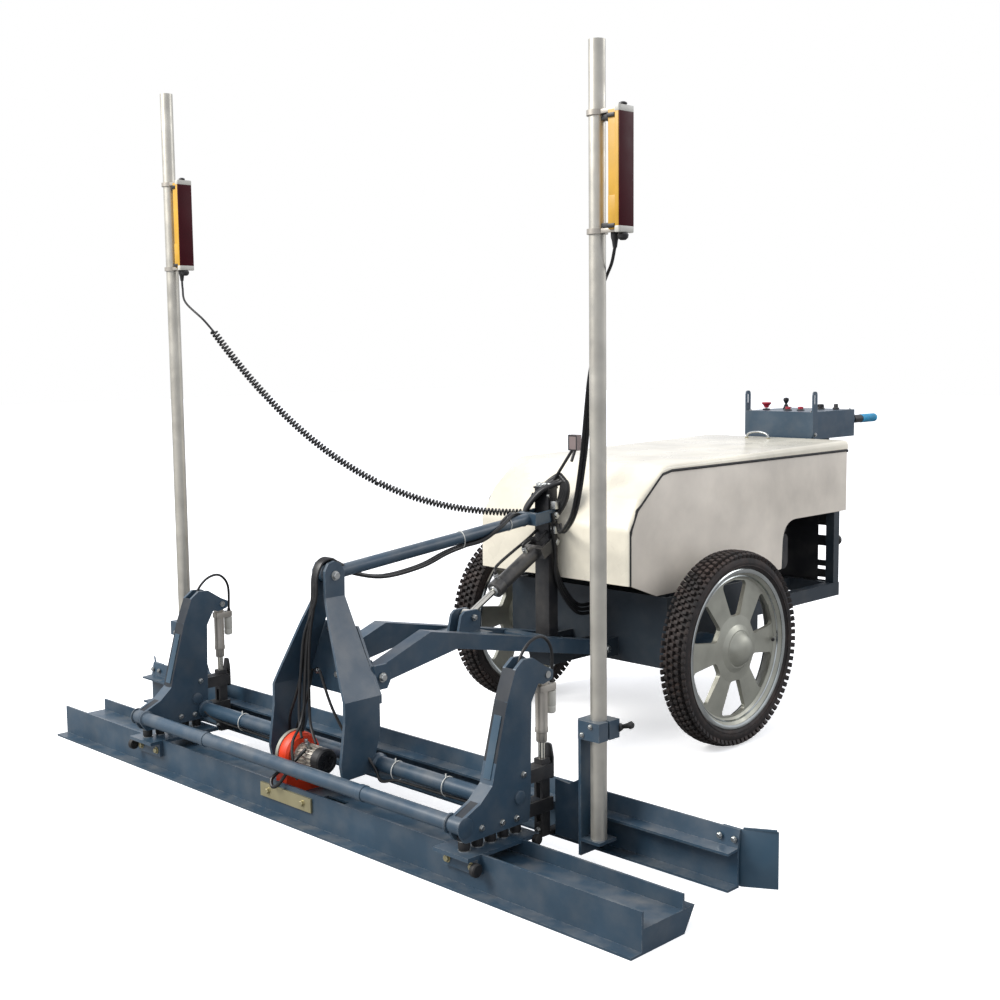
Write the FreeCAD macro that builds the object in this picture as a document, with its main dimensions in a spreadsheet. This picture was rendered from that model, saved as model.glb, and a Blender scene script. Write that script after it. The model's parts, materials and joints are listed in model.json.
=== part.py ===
"""A walk-behind laser screed: two-wheeled chassis, lifting fork, vibrating pan and strike-off plow.

X runs across the machine, Y back towards the operator and Z up, in millimetres.  The origin lies on
the sole of the vibrating pan, at the foot of its front plate, on the machine's centre plane.
"""
import FreeCAD, Part
import math
import os
import Sketcher
from FreeCAD import Placement, Rotation, Vector

SIZES = {
    # vibrating pan
    "pan_half": 1250, "pan_lip": 37, "pan_plate_top": 96, "pan_floor": 57, "pan_sole": 149,
    "pan_depth": 186, "pan_flange": 143, "pan_sheet": 6, "pan_window": 90, "pan_window_start": 60,
    # strike-off plow and its end wings
    "plow_half": 1258, "plow_face": 337, "plow_sheet": 6, "plow_bottom": 51, "plow_top": 187,
    "plow_lean": 8, "plow_shelf": 139, "plow_shelf_tip": 299, "wing_reach": 74, "wing_back": 42,
    "wing_lap": 52, "wing_bolt": 8, "wing_bolt_head": 6,
    # masts and laser receivers
    "mast_at": 906, "mast_line": 261, "mast_foot": 101, "mast_radius": 20, "mast_wall": 3,
    "mast_right_top": 1986, "mast_left_top": 2107, "clamp_low": 352, "clamp_high": 398,
    "clamp_left": 35, "clamp_right": 32, "clamp_depth": 36, "lever_reach": 52, "lever_radius": 7,
    "web_sheet": 8, "apron_left": 735, "apron_top": 207, "foot_sheet": 8, "lever_in": 28,
    "lever_height": 375,
    "receiver_low": 1547, "receiver_high": 1830, "receiver_gap": 48, "receiver_wide": 40,
    "receiver_deep": 52, "receiver_clip": 22, "window_wrap": 16, "knob_radius": 13,
    # head: arms, cross tubes and isolators
    "arm_at": 713, "arm_half": 22, "arm_sheet": 9, "torsion_line": 189, "torsion_height": 151,
    "torsion_radius": 22, "front_line": -26, "front_height": 161, "front_radius": 20,
    "isolator_radius": 14, "isolator_pitch": 44, "isolator_start": -8, "hanger_low": 86,
    "hanger_high": 96, "hanger_left": 640, "hanger_right": 762, "foot_bottom": 121,
    # tower
    "tower_top_half": 20, "tower_sheet": 10, "tower_base_half": 155, "tower_bend_high": 605,
    "tower_bend_low": 340, "back_plate": 199.5, "back_sheet": 8, "lug_sheet": 10,
    # lifting fork, top link and lift cylinder pivots
    "fork_rear_line": 1190, "fork_rear_height": 305, "fork_tip_line": 232, "fork_tip_height": 381,
    "link_tip_line": 160, "link_tip_height": 665, "link_rear_line": 1056, "link_rear_height": 752,
    "rod_pin_line": 697, "rod_pin_height": 467, "barrel_pin_line": 1056, "barrel_pin_height": 664,
    "beam_inside": 75, "beam_wide": 50, "boss_radius": 24, "pivot_radius": 12, "running_gap": 0.05,
    "open_gap": 1.9, "link_radius": 19, "barrel_radius": 24, "bore_radius": 18, "rod_radius": 10,
    "barrel_start": 70, "barrel_end": 273, "rod_start": 180, "cheek_in": 32, "cheek_sheet": 9,
    # plow actuators
    "actuator_line": 266, "actuator_pin": 480, "eye_half": 12, "gear_deep": 22,
    "actuator_low": 304, "actuator_high": 450,
    "actuator_radius": 17, "motor_radius": 13, "motor_line": 301, "motor_low": 372,
    "ram_radius": 9, "ram_foot": 262, "ram_top": 395, "hanger_bar_low": 62, "hanger_bar_half": 14,
    "hanger_bar_front": 252, "hanger_bar_back": 280, "guide_gap": 0.1, "guide_sheet": 7,
    # vibrator
    "vibrator_line": 75, "vibrator_height": 162, "vibrator_at": -45, "drum_radius": 62,
    "drum_half": 24, "shaft_radius": 11, "vibrator_motor": 36, "vibrator_motor_long": 108,
    "eccentric_offset": 16, "eccentric_radius": 30, "cradle_half": 62,
    # wheels
    "axle_line": 1426, "wheel_radius": 318, "rim_radius": 257, "wheel_at": 466, "tyre_half": 46,
    "axle_radius": 35, "axle_half": 425, "spindle_radius": 22, "spindle_half": 500,
    "hub_radius": 40, "hub_half": 34, "spoke_count": 6,
    # chassis
    "box_front": 1250, "box_rear": 1760, "box_half": 345, "box_low": 256, "box_top": 490,
    "plate": 8, "rail_out": 322, "rail_wide": 37, "rail_low": 351, "rail_high": 400,
    "frame_rear": 2330, "post_top": 872, "chassis_mast_front": 1035, "chassis_mast_half": 30,
    "chassis_mast_top": 842, "chassis_mast_deep": 42, "mast_cap": 6, "tongue_half": 45,
    "tongue_low": 262, "tongue_high": 300, "bearer_in": 96, "bearer_out": 128, "stay_front": 1300,
    "stay_deep": 34, "stay_low": 830, "stay_high": 860, "support_in": 52, "support_out": 82,
    "support_front": 2600, "support_rear": 2640, "guard_front": 2318, "guard_sheet": 3,
    # engine, pump, oil tank and battery
    "crank_half": 120, "crank_front": 1900, "crank_rear": 2150, "crank_top": 590,
    "cylinder_half": 75, "cylinder_front": 1830, "cylinder_low": 440, "cylinder_high": 640,
    "fuel_half": 150, "fuel_front": 1920, "fuel_rear": 2140, "fuel_low": 620, "fuel_high": 760,
    "muffler_in": 124, "muffler_out": 230, "muffler_front": 1930, "muffler_rear": 2120,
    "muffler_low": 470, "muffler_high": 600, "starter_radius": 88, "starter_height": 500,
    "starter_front": 2151, "starter_rear": 2215, "pump_line": 2020, "pump_height": 480,
    "pump_in": 121, "pump_out": 240, "pump_radius": 46, "pump_flange": 66, "flange_out": 136,
    "oil_left": 285, "oil_right": 30, "oil_front": 1345, "oil_rear": 1640, "oil_top": 790,
    "filler_left": 90, "filler_line": 1580, "filler_radius": 28, "filler_top": 826,
    "battery_left": 40, "battery_right": 262, "battery_front": 1350, "battery_rear": 1520,
    "battery_top": 690, "terminal_line": 1400, "terminal_top": 706, "terminal_radius": 9,
    # hood and panels
    "hood_half": 325, "hood_sheet": 4, "hood_front": 1080, "hood_low": 546, "hood_rear": 2372,
    "hood_rear_top": 932, "hinge_height": 897, "hinge_pin": 3, "hinge_out": 333, "hinge_long": 40,
    "hinge_leaf": 20, "knuckle": 8, "panel_low": 496, "panel_step": 669,
    # console, handlebars and controls
    "console_half": 151, "console_front": 2398, "console_rear": 2712, "console_low": 926,
    "console_top": 1032, "console_sheet": 3, "ear_wide": 32, "ear_top": 1111, "ear_sheet": 5,
    "bar_at": 138, "bar_height": 992, "bar_end": 2890, "bar_radius": 12, "grip_radius": 17,
    "grip_long": 110, "stem_radius": 5, "stem_below": 14, "cap_radius": 12, "knob_left": 40,
    "knob_line": 2640, "knob_high": 20, "knob_cap": 15, "stick_left": -70, "stick_line": 2560,
    "stick_high": 52, "stick_ball": 12,
    # socket box beside the hose mast
    "socket_left": 104, "socket_right": 140, "socket_front": 1050, "socket_rear": 1072,
    "socket_low": 964, "socket_high": 1014, "stalk_at": 22, "stalk_line": 1060, "stalk_foot": 12,
    "stalk_radius": 5,
}

NODES = {}
doc = FreeCAD.newDocument("LaserScreed")
sheet = doc.addObject("Spreadsheet::Sheet", "Sheet")
for row, (alias, value) in enumerate(SIZES.items(), start=1):
    sheet.set(f"A{row}", alias)
    sheet.set(f"B{row}", str(value))
    sheet.setAlias(f"B{row}", alias)
doc.recompute()


class Dim:
    """A length: its value in millimetres and the sheet expression that gives it."""

    def __init__(self, value, text):
        self.value = float(value)
        self.text = text

    def __add__(self, other):
        other = dim(other)
        return Dim(self.value + other.value, f"({self.text} + {other.text})")

    def __sub__(self, other):
        other = dim(other)
        return Dim(self.value - other.value, f"({self.text} - {other.text})")

    def __rsub__(self, other):
        return dim(other) - self

    def __mul__(self, factor):
        return Dim(self.value * factor, f"({self.text} * {factor})")

    def __neg__(self):
        return Dim(-self.value, f"(0 - {self.text})")

    __radd__ = __add__
    __rmul__ = __mul__


def dim(value):
    """Turn a plain number into a Dim, and leave a Dim as it is."""
    return value if isinstance(value, Dim) else Dim(value, f"{value}")


class Sizes:
    """The driving dimensions, read from the sheet by name."""

    def __getattr__(self, name):
        return Dim(sheet.get(name), f"Sheet.{name}")


s = Sizes()


# ---- building blocks -------------------------------------------------------------------------

def bind(target, path, length):
    """Drive one property of an object from the sheet."""
    target.setExpression(path, dim(length).text)


def keep(name, piece):
    """Make a finished piece the sub-part of this name."""
    piece.Label = name
    NODES[name] = piece
    return piece


def box(name, x, y, z):
    """A block between two corners, each axis given as (low, high)."""
    block = doc.addObject("Part::Box", name)
    for axis, side, (low, high) in zip("xyz", ("Length", "Width", "Height"), (x, y, z)):
        bind(block, side, dim(high) - dim(low))
        bind(block, f"Placement.Base.{axis}", low)
    return block


def rod(name, start, end, radius):
    """A round bar between two points."""
    bar = doc.addObject("Part::Cylinder", name)
    bind(bar, "Radius", radius)
    first, last = ([dim(part) for part in point] for point in (start, end))
    origin = Vector(*(part.value for part in first))
    along = Vector(*(part.value for part in last)) - origin
    bar.Placement = Placement(origin, Rotation(Vector(0, 0, 1), along))
    moving = [index for index in range(3) if abs(along[index]) > 1e-9]
    if len(moving) == 1:
        index = moving[0]
        sign = 1 if along[index] > 0 else -1
        bind(bar, "Height", (last[index] - first[index]) * sign)
        for axis, part in zip("xyz", first):
            bind(bar, f"Placement.Base.{axis}", part)
    else:
        bar.Height = along.Length
    return bar


PLANES = {"YZ": ("YZ_Plane", 1), "XZ": ("XZ_Plane", -1), "XY": ("XY_Plane", 1)}


def sketch_on(body, plane, offset, name):
    """An empty sketch on one of a body's origin planes, moved along the plane's normal."""
    role = PLANES[plane][0]
    support = next(f for f in body.Origin.OriginFeatures if f.Role == role)
    sketch = body.newObject("Sketcher::SketchObject", name)
    sketch.AttachmentSupport = [(support, "")]
    sketch.MapMode = "FlatFace"
    bind(sketch, "AttachmentOffset.Base.z", offset)
    return sketch


def draw_outline(sketch, points):
    """Draw a closed outline of straight lines, with every corner driven from the sheet."""
    corners = [(dim(a), dim(b)) for a, b in points]
    for index, (a, b) in enumerate(corners):
        c, e = corners[(index + 1) % len(corners)]
        sketch.addGeometry(Part.LineSegment(Vector(a.value, b.value, 0), Vector(c.value, e.value, 0)))
    count = len(corners)
    for index, (a, b) in enumerate(corners):
        sketch.addConstraint(Sketcher.Constraint("Coincident", index, 2, (index + 1) % count, 1))
        for kind, part in (("DistanceX", a), ("DistanceY", b)):
            number = sketch.addConstraint(Sketcher.Constraint(kind, index, 1, part.value))
            if part.text.find("Sheet.") >= 0:
                bind(sketch, f"Constraints[{number}]", part)


def prism(name, plane, points, low, high, rounded=None):
    """A sketched outline padded from low to high along the plane's normal axis."""
    body = doc.addObject("PartDesign::Body", name)
    low, high = dim(low), dim(high)
    offset = low if PLANES[plane][1] > 0 else -high
    sketch = sketch_on(body, plane, offset, f"{name}_outline")
    draw_outline(sketch, points)
    pad = body.newObject("PartDesign::Pad", f"{name}_pad")
    pad.Profile = sketch
    bind(pad, "Length", high - low)
    doc.recompute()
    if rounded is not None:
        axis = {"YZ": 0, "XZ": 1, "XY": 2}[plane]
        length = (high - low).value
        edges = []
        for number, edge in enumerate(pad.Shape.Edges, start=1):
            start, end = (vertex.Point for vertex in edge.Vertexes)
            if abs(abs((end - start)[axis]) - length) < 1e-6:
                edges.append(f"Edge{number}")
        fillet = body.newObject("PartDesign::Fillet", f"{name}_fillet")
        fillet.Base = (pad, edges)
        bind(fillet, "Radius", rounded)
    return body


def turned(name, centre, profile, flip=False):
    """A profile of (along X, radius) corners turned about the X axis through a centre point."""
    body = doc.addObject("PartDesign::Body", name)
    sketch = sketch_on(body, "XZ", 0, f"{name}_profile")
    draw_outline(sketch, [(-dim(a) if flip else a, b) for a, b in profile])
    spin = body.newObject("PartDesign::Revolution", f"{name}_turn")
    spin.Profile = sketch
    spin.ReferenceAxis = (sketch, ["H_Axis"])
    spin.Angle = 360
    for axis, part in zip("xyz", centre):
        bind(body, f"Placement.Base.{axis}", part)
    return body


def fuse(name, *pieces):
    """Weld pieces into one solid."""
    joined = doc.addObject("Part::MultiFuse", name)
    joined.Shapes = list(pieces)
    joined.Refine = True
    return joined


def cut(name, base, *tools):
    """Take one or more tools out of a base."""
    result = doc.addObject("Part::Cut", name)
    result.Base = base
    result.Tool = tools[0] if len(tools) == 1 else group(f"{name}_tools", *tools)
    return result


def common(name, first, second):
    """What two pieces share."""
    shared = doc.addObject("Part::Common", name)
    shared.Base = first
    shared.Tool = second
    return shared


def group(name, *pieces):
    """Separate solids kept together as one sub-part."""
    compound = doc.addObject("Part::Compound", name)
    compound.Links = list(pieces)
    return compound


def mirror(name, piece):
    """The left-hand twin of a right-hand piece."""
    twin = doc.addObject("Part::Mirroring", name)
    twin.Source = piece
    twin.Normal = Vector(1, 0, 0)
    return twin


def pair(name, piece):
    """A right-hand piece and its left-hand twin, as one sub-part of two solids."""
    return group(name, piece, mirror(f"{name}_twin", piece))


def pipe(name, points, radius):
    """A round soft or bent piece along a smooth curve, which no sketch feature fits headless."""
    curve = Part.BSplineCurve()
    curve.interpolate([Vector(*point) for point in points])
    start = curve.tangent(curve.FirstParameter)[0]
    ring = Part.Wire(Part.Circle(Vector(*points[0]), start, radius).toShape())
    shape = Part.Wire(curve.toShape()).makePipeShell([ring], True, True)
    feature = doc.addObject("Part::Feature", name)
    feature.Shape = shape
    return feature


# ---- vibrating pan and what shakes it --------------------------------------------------------

def vibrating_pan():
    t = s.pan_sheet
    outline = [
        (-s.pan_lip, 0), (s.pan_sole, 0), (s.pan_depth, s.pan_floor),
        (s.pan_flange + t, s.pan_floor), (s.pan_flange + t, s.pan_plate_top - 3),
        (s.pan_flange, s.pan_plate_top - 3), (s.pan_flange, s.pan_floor), (t, s.pan_floor),
        (t, s.pan_plate_top), (0, s.pan_plate_top), (0, t), (-s.pan_lip, t),
    ]
    hollow = [
        (t, t), (s.pan_sole - t * 0.6, t), (s.pan_depth - t * 2.4, s.pan_floor - t),
        (t, s.pan_floor - t),
    ]
    shell = prism("pan_section", "YZ", outline, -s.pan_half, s.pan_half)
    inside = prism("pan_hollow", "YZ", hollow, t - s.pan_half, s.pan_half - t)
    window = box("pan_opening", (s.pan_window_start, s.pan_window_start + s.pan_window),
                 (t * 6, t * 16), (s.pan_floor - t * 1.5, s.pan_floor + t))
    keep("vibrating_pan", cut("pan", shell, inside, window))


def vibrator():
    y, z, x = s.vibrator_line, s.vibrator_height, s.vibrator_at
    half, r, shaft = s.drum_half, s.drum_radius, s.shaft_radius
    wall = s.pan_sheet
    housing = turned("drum", (x, y, z), [
        (-half, shaft + 1), (-half, r * 0.9), (-half + wall, r), (half - wall, r), (half, r * 0.9),
        (half, shaft + 1), (half - wall, shaft + 1), (half - wall, r - wall),
        (-half + wall, r - wall), (-half + wall, shaft + 1),
    ])
    keep("vibrator_housing", housing)
    long = s.vibrator_motor_long
    motor = turned("motor_case", (x, y, z), [
        (half, shaft + 4), (half, s.vibrator_motor), (half + long, s.vibrator_motor),
        (half + long, 0), (half + long * 0.9, 0), (half + long * 0.9, shaft + 4),
    ])
    keep("vibrator_motor", motor)
    spindle = rod("spindle", (x - half - 4, y, z), (x + half + long * 0.85, y, z), shaft)
    weight = rod("weight", (x - half * 0.5, y, z + s.eccentric_offset),
                 (x + half * 0.5, y, z + s.eccentric_offset), s.eccentric_radius)
    keep("eccentric_shaft", fuse("eccentric", spindle, weight))
    saddle = box("saddle", (x - half, x + half), (y - s.cradle_half, y + s.cradle_half),
                 (s.pan_floor, z - r * 0.72))
    bed = cut("bed", saddle, rod("bed_round", (x - half - 1, y, z), (x + half + 1, y, z), r))
    strap = box("strap", (x - 75, x + 155), (-wall, 0), (s.pan_floor - 14, s.pan_floor + 25))
    keep("vibrator_base", group("vibrator_feet", bed, strap))


def hangers_and_isolators():
    x = (s.hanger_left, s.hanger_right)
    t = s.pan_sheet
    tray = box("hanger_tray", x, (-s.pan_lip - 6, s.pan_depth + 16), (s.hanger_low, s.hanger_high))
    tray = cut("hanger_notched", tray, box("front_slot", x, (0, t), (s.hanger_low, s.pan_plate_top)),
               box("rear_slot", x, (s.pan_flange, s.pan_flange + t), (s.hanger_low, s.pan_plate_top - 3)))
    front = box("hanger_front", x, (-t * 2, 0), (s.hanger_low - 40, s.hanger_low))
    rear = box("hanger_rear", x, (s.pan_flange + t, s.pan_flange + t * 3), (s.pan_floor, s.hanger_low))
    keep("hanger_bars", pair("hanger_pair", fuse("hanger", tray, front, rear)))
    rubbers = []
    for number in range(5):
        y = s.isolator_start + s.isolator_pitch * number
        rubbers.append(rod(f"rubber_{number}", (s.arm_at, y, s.hanger_high),
                           (s.arm_at, y, s.foot_bottom), s.isolator_radius))
    row = group("rubber_row", *rubbers)
    keep("isolators", pair("isolator_pair", row))


# ---- head frame ------------------------------------------------------------------------------

ARM_OUTLINE = [
    (-44, 174), (-38, 140), (-25, 121), (196, 121), (202, 190), (203, 281), (207, 420),
    (232, 464), (250, 458), (285, 466), (288, 488), (262, 500), (215, 530), (180, 532), (152, 512),
    (122, 436), (82, 292), (68, 240), (28, 206),
]


def arm_frames():
    inner, outer = s.arm_at - s.arm_half, s.arm_at + s.arm_half
    outline = ARM_OUTLINE
    plates = []
    holes = [rod("hook_hole", (inner - 1, s.actuator_line, s.actuator_pin),
                 (outer + 1, s.actuator_line, s.actuator_pin), s.ram_radius + s.running_gap)]
    for number, low in enumerate((inner, outer - s.arm_sheet)):
        plates.append(prism(f"arm_plate_{number}", "YZ", outline, low, low + s.arm_sheet, 8))
    covers = [(152, 512), (122, 436), (82, 292), (68, 240), (28, 206), (-30, 178)]
    back = [(y + 8, z - 3) for y, z in reversed(covers)]
    cover = prism("arm_cover", "YZ", [(y, z) for y, z in covers + back],
                  inner + s.arm_sheet, outer - s.arm_sheet)
    floor = box("arm_foot", (inner + s.arm_sheet, outer - s.arm_sheet), (-20, 190),
                (s.foot_bottom, s.foot_bottom + s.arm_sheet))
    welded = fuse("arm_weld", *plates, cover, floor)
    guides = []
    bar_out = s.hanger_bar_half + s.guide_gap
    for number, height in enumerate((128, 214)):
        for side, sign in (("a", -1), ("b", 1)):
            near = s.arm_at + bar_out * sign
            far = s.arm_at + (bar_out + s.guide_sheet) * sign
            low, high = (far, near) if sign < 0 else (near, far)
            guides.append(box(f"guide_{number}{side}", (low, high), (190, s.hanger_bar_back + 6),
                              (height, height + 34)))
        guides.append(box(f"guide_back_{number}", (s.arm_at - s.arm_half + s.arm_sheet,
                                                   s.arm_at + s.arm_half - s.arm_sheet),
                          (190, s.hanger_bar_front - s.guide_gap), (height, height + 34)))
    frame = cut("arm", fuse("arm_guided", welded, *guides), *holes)
    keep("arm_frames", pair("arm_pair", frame))


def cross_tubes():
    reach = s.arm_at - s.arm_half
    torsion = rod("torsion", (-reach, s.torsion_line, s.torsion_height),
                  (reach, s.torsion_line, s.torsion_height), s.torsion_radius)
    front = rod("front", (-reach, s.front_line, s.front_height),
                (reach, s.front_line, s.front_height), s.front_radius)
    keep("cross_tubes", group("tubes", torsion, front))


TOWER_SIDE = [
    (125, 603), (108, 530), (83, 389), (77, 347), (76, 284), (59, 166), (64, 138), (82, 126),
    (161, 129), (173, 154), (199, 238), (199, 330), (199, 385), (196, 453), (195, 509), (193, 605),
    (194, 672), (182, 696), (160, 706), (138, 700), (126, 680),
]


def tower():
    side = prism("tower_side", "YZ", TOWER_SIDE,
                 0, s.tower_base_half + 40)
    a, b, t = s.tower_top_half, s.tower_base_half, s.tower_sheet
    high, low = s.tower_bend_high, s.tower_bend_low
    strip = prism("tower_strip", "XZ", [
        (a + t, high + 120), (a + t, high), (b + t, low), (b + t, low - 240), (b, low - 240),
        (b, low + 2), (a, high + 2), (a, high + 120)], 0, 240)
    reach = b + 20
    pin = rod("tower_pin_hole", (-reach, s.link_tip_line, s.link_tip_height),
              (reach, s.link_tip_line, s.link_tip_height), s.pivot_radius + s.running_gap)
    saddle = rod("tower_saddle", (-reach, s.torsion_line, s.torsion_height),
                 (reach, s.torsion_line, s.torsion_height), s.torsion_radius)
    plate = cut("tower_plate", common("tower_bent", side, strip), pin, saddle)
    keep("tower_plates", pair("tower_pair", plate))

    back = s.back_plate
    sheet_back = prism("back_sheet_plate", "XZ", [
        (-72, 520), (-164, low), (-164, 316), (164, 316),
        (164, low), (72, 520)], back, back + s.back_sheet)
    lugs = []
    lug = [(0, 346), (44, 346), (56, 366), (56, 396), (44, 416), (0, 416)]
    lug_side = [(back + s.back_sheet - 1 + y, z) for y, z in lug]
    for number, x in enumerate((s.beam_inside - 3 - s.lug_sheet, s.beam_inside + s.beam_wide + 3)):
        for sign in (-1, 1):
            low_x, high_x = (x, x + s.lug_sheet) if sign > 0 else (-x - s.lug_sheet, -x)
            lugs.append(prism(f"lug_{number}{sign + 1}", "YZ", lug_side, low_x, high_x))
    holes = rod("lug_holes", (-reach, s.fork_tip_line, s.fork_tip_height),
                (reach, s.fork_tip_line, s.fork_tip_height), s.pivot_radius + s.running_gap)
    keep("tower_rear_plate", cut("rear_plate", fuse("rear_weld", sheet_back, *lugs), holes))

    bolts = []
    for number, (x, z) in enumerate(((-112, 366), (-20, 370), (-46, 500), (46, 500), (20, 330),
                                     (112, 366))):
        bolts.append(rod(f"head_bolt_{number}", (x, back - 7, z), (x, back, z), 9))
    keep("head_bolts", group("head_bolt_set", *bolts))
    half = s.tower_top_half + s.tower_sheet + 4
    pin_piece = rod("tower_pin", (-half, s.link_tip_line, s.link_tip_height),
                    (half, s.link_tip_line, s.link_tip_height), s.pivot_radius)
    hook = rod("hook_pin", (s.arm_at - s.arm_half - 3, s.actuator_line, s.actuator_pin),
               (s.arm_at + s.arm_half + 3, s.actuator_line, s.actuator_pin), s.ram_radius)
    keep("head_pins", group("head_pin_set", pin_piece, hook, mirror("hook_pin_twin", hook)))


# ---- plow lift actuators ---------------------------------------------------------------------

def actuators():
    x, y = s.arm_at, s.actuator_line
    tube = rod("actuator_tube", (x, y, s.actuator_low), (x, y, s.actuator_high), s.actuator_radius)
    half = s.eye_half
    eye = rod("actuator_eye", (x - half, y, s.actuator_pin), (x + half, y, s.actuator_pin), 14)
    neck = box("actuator_neck", (x - half, x + half), (y - 12, y + 12),
               (s.actuator_high - 4, s.actuator_pin))
    gear = box("actuator_gear", (x - 17, x + 17), (y - 17, s.motor_line + s.motor_radius),
               (s.actuator_high - s.gear_deep, s.actuator_high))
    motor = rod("actuator_motor", (x, s.motor_line, s.motor_low), (x, s.motor_line, s.actuator_high - 6),
                s.motor_radius)
    bore = rod("actuator_bore", (x, y, s.actuator_low - 1), (x, y, s.actuator_high - 4),
               s.ram_radius + s.running_gap)
    hole = rod("actuator_hole", (x - 18, y, s.actuator_pin), (x + 18, y, s.actuator_pin),
               s.ram_radius + s.running_gap)
    body = cut("actuator", fuse("actuator_weld", tube, eye, neck, gear, motor), bore, hole)
    keep("actuator_tubes", pair("actuator_pair", body))

    ram = rod("ram", (x, y, s.ram_foot - 24), (x, y, s.ram_top), s.ram_radius)
    keep("actuator_rods", pair("ram_pair", ram))

    half = s.hanger_bar_half
    bar = box("hanger_bar", (x - half, x + half), (s.hanger_bar_front, s.hanger_bar_back),
              (s.hanger_bar_low, s.ram_foot))
    bar = cut("hanger_slotted", bar, box("bar_slot", (x - 7, x + 7), (s.hanger_bar_front - 1,
              s.hanger_bar_back + 1), (s.hanger_bar_low + 34, s.ram_foot - 62)),
              rod("ram_socket", (x, y, s.ram_foot - 24), (x, y, s.ram_foot + 1), s.ram_radius))
    shelf = box("hanger_shelf", (x - half, x + half), (s.hanger_bar_back, s.plow_face),
                (s.hanger_bar_low, s.hanger_bar_low + 8))
    keep("plow_hangers", pair("plow_hanger_pair", fuse("plow_hanger", bar, shelf)))


# ---- plow, wings, masts and receivers --------------------------------------------------------

def plow():
    t, face, tip = s.plow_sheet, s.plow_face, s.plow_shelf_tip
    low, shelf, top = s.plow_bottom, s.plow_shelf, s.plow_top
    outline = [
        (tip, low), (face + t, low), (face + t, shelf), (face + t + s.plow_lean, top),
        (face + s.plow_lean, top), (face, shelf + t), (tip, shelf + t - 2), (tip, shelf - 2),
        (face, shelf), (face, low + t), (tip, low + t),
    ]
    keep("plow_blade", prism("blade", "YZ", outline, -s.plow_half, s.plow_half))

    start = s.plow_half
    back = face + t + s.plow_lean
    plan = [
        (start - s.wing_lap, back), (start + 2, back), (start + s.wing_reach, back + s.wing_back),
        (start + s.wing_reach - 4, back + s.wing_back + 4), (start - 1, back + t),
        (start - s.wing_lap, back + t),
    ]
    wing = prism("wing_sheet", "XY", plan, low, top)
    bolts = []
    for number, (x, z) in enumerate((a, b) for a in (10, 50) for b in (70, 165)):
        bolts.append(rod(f"wing_bolt_{number}", (start - x, back + t, z),
                         (start - x, back + t + s.wing_bolt_head, z), s.wing_bolt))
    keep("plow_wings", pair("wing_pair", group("wing", wing, *bolts)))


def mast_brackets():
    x, y, r = s.mast_at, s.mast_line, s.mast_radius
    t = s.web_sheet
    left = x - s.clamp_left
    face, shelf_top = s.plow_face, s.plow_shelf + s.plow_sheet
    web = prism("mast_web", "YZ", [
        (y - 26, s.plow_bottom + 6), (s.plow_shelf_tip, s.plow_bottom + 6),
        (s.plow_shelf_tip, shelf_top), (face, shelf_top), (face, shelf_top + 26),
        (y + s.clamp_depth + 4, s.clamp_low - 60), (y + s.clamp_depth + 4, s.clamp_high),
        (y - 26, s.clamp_high)], left - t, left)
    apron = prism("mast_apron", "XZ", [
        (s.apron_left, 62), (left - t, 62), (left - t, 250),
        (s.apron_left + 48, s.apron_top - 3), (s.apron_left, s.apron_top)],
        s.plow_shelf_tip - t, s.plow_shelf_tip)
    foot = box("mast_footplate", (left, x + r + 4), (y - 26, s.plow_shelf_tip - 1),
               (s.mast_foot - s.foot_sheet, s.mast_foot))
    block = box("clamp_block", (left, x + s.clamp_right), (y - s.clamp_depth, y + s.clamp_depth + 4),
                (s.clamp_low, s.clamp_high))
    slot = box("clamp_slot", (x, x + s.clamp_right + 1), (y - 3, y + 3),
               (s.clamp_low - 1, s.clamp_high + 1))
    bore = rod("clamp_bore", (x, y, s.clamp_low - 1), (x, y, s.clamp_high + 1), r)
    screw_x, screw_z, screw_r = x + s.lever_in, s.lever_height, s.lever_radius * 0.5
    lever_hole = rod("lever_hole", (screw_x, y + 8, screw_z), (screw_x, y + s.clamp_depth + 5, screw_z),
                     screw_r + s.running_gap)
    bracket = cut("mast_bracket", fuse("bracket_weld", web, apron, foot, block), bore, slot, lever_hole)
    keep("mast_brackets", pair("bracket_pair", bracket))

    tubes = []
    for label, sign, top in (("right", 1, s.mast_right_top), ("left", -1, s.mast_left_top)):
        outside = rod(f"mast_{label}_out", (x * sign, y, s.mast_foot), (x * sign, y, top), r)
        inside = rod(f"mast_{label}_in", (x * sign, y, s.mast_foot - 1), (x * sign, y, top + 1),
                     r - s.mast_wall)
        tubes.append(cut(f"mast_{label}", outside, inside))
    keep("masts", group("mast_set", *tubes))

    for label, sign in (("right", 1), ("left", -1)):
        side = screw_x * sign
        screw = rod(f"lever_screw_{label}", (side, y + 10, screw_z),
                    (side, y + s.clamp_depth + 18, screw_z), screw_r)
        tip = (side + s.lever_reach * sign, y + s.clamp_depth + 16, screw_z + 6)
        arm = rod(f"lever_arm_{label}", (side, y + s.clamp_depth + 12, screw_z), tip, s.lever_radius)
        keep(f"clamp_lever_{label}", fuse(f"lever_{label}", screw, arm))


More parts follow.
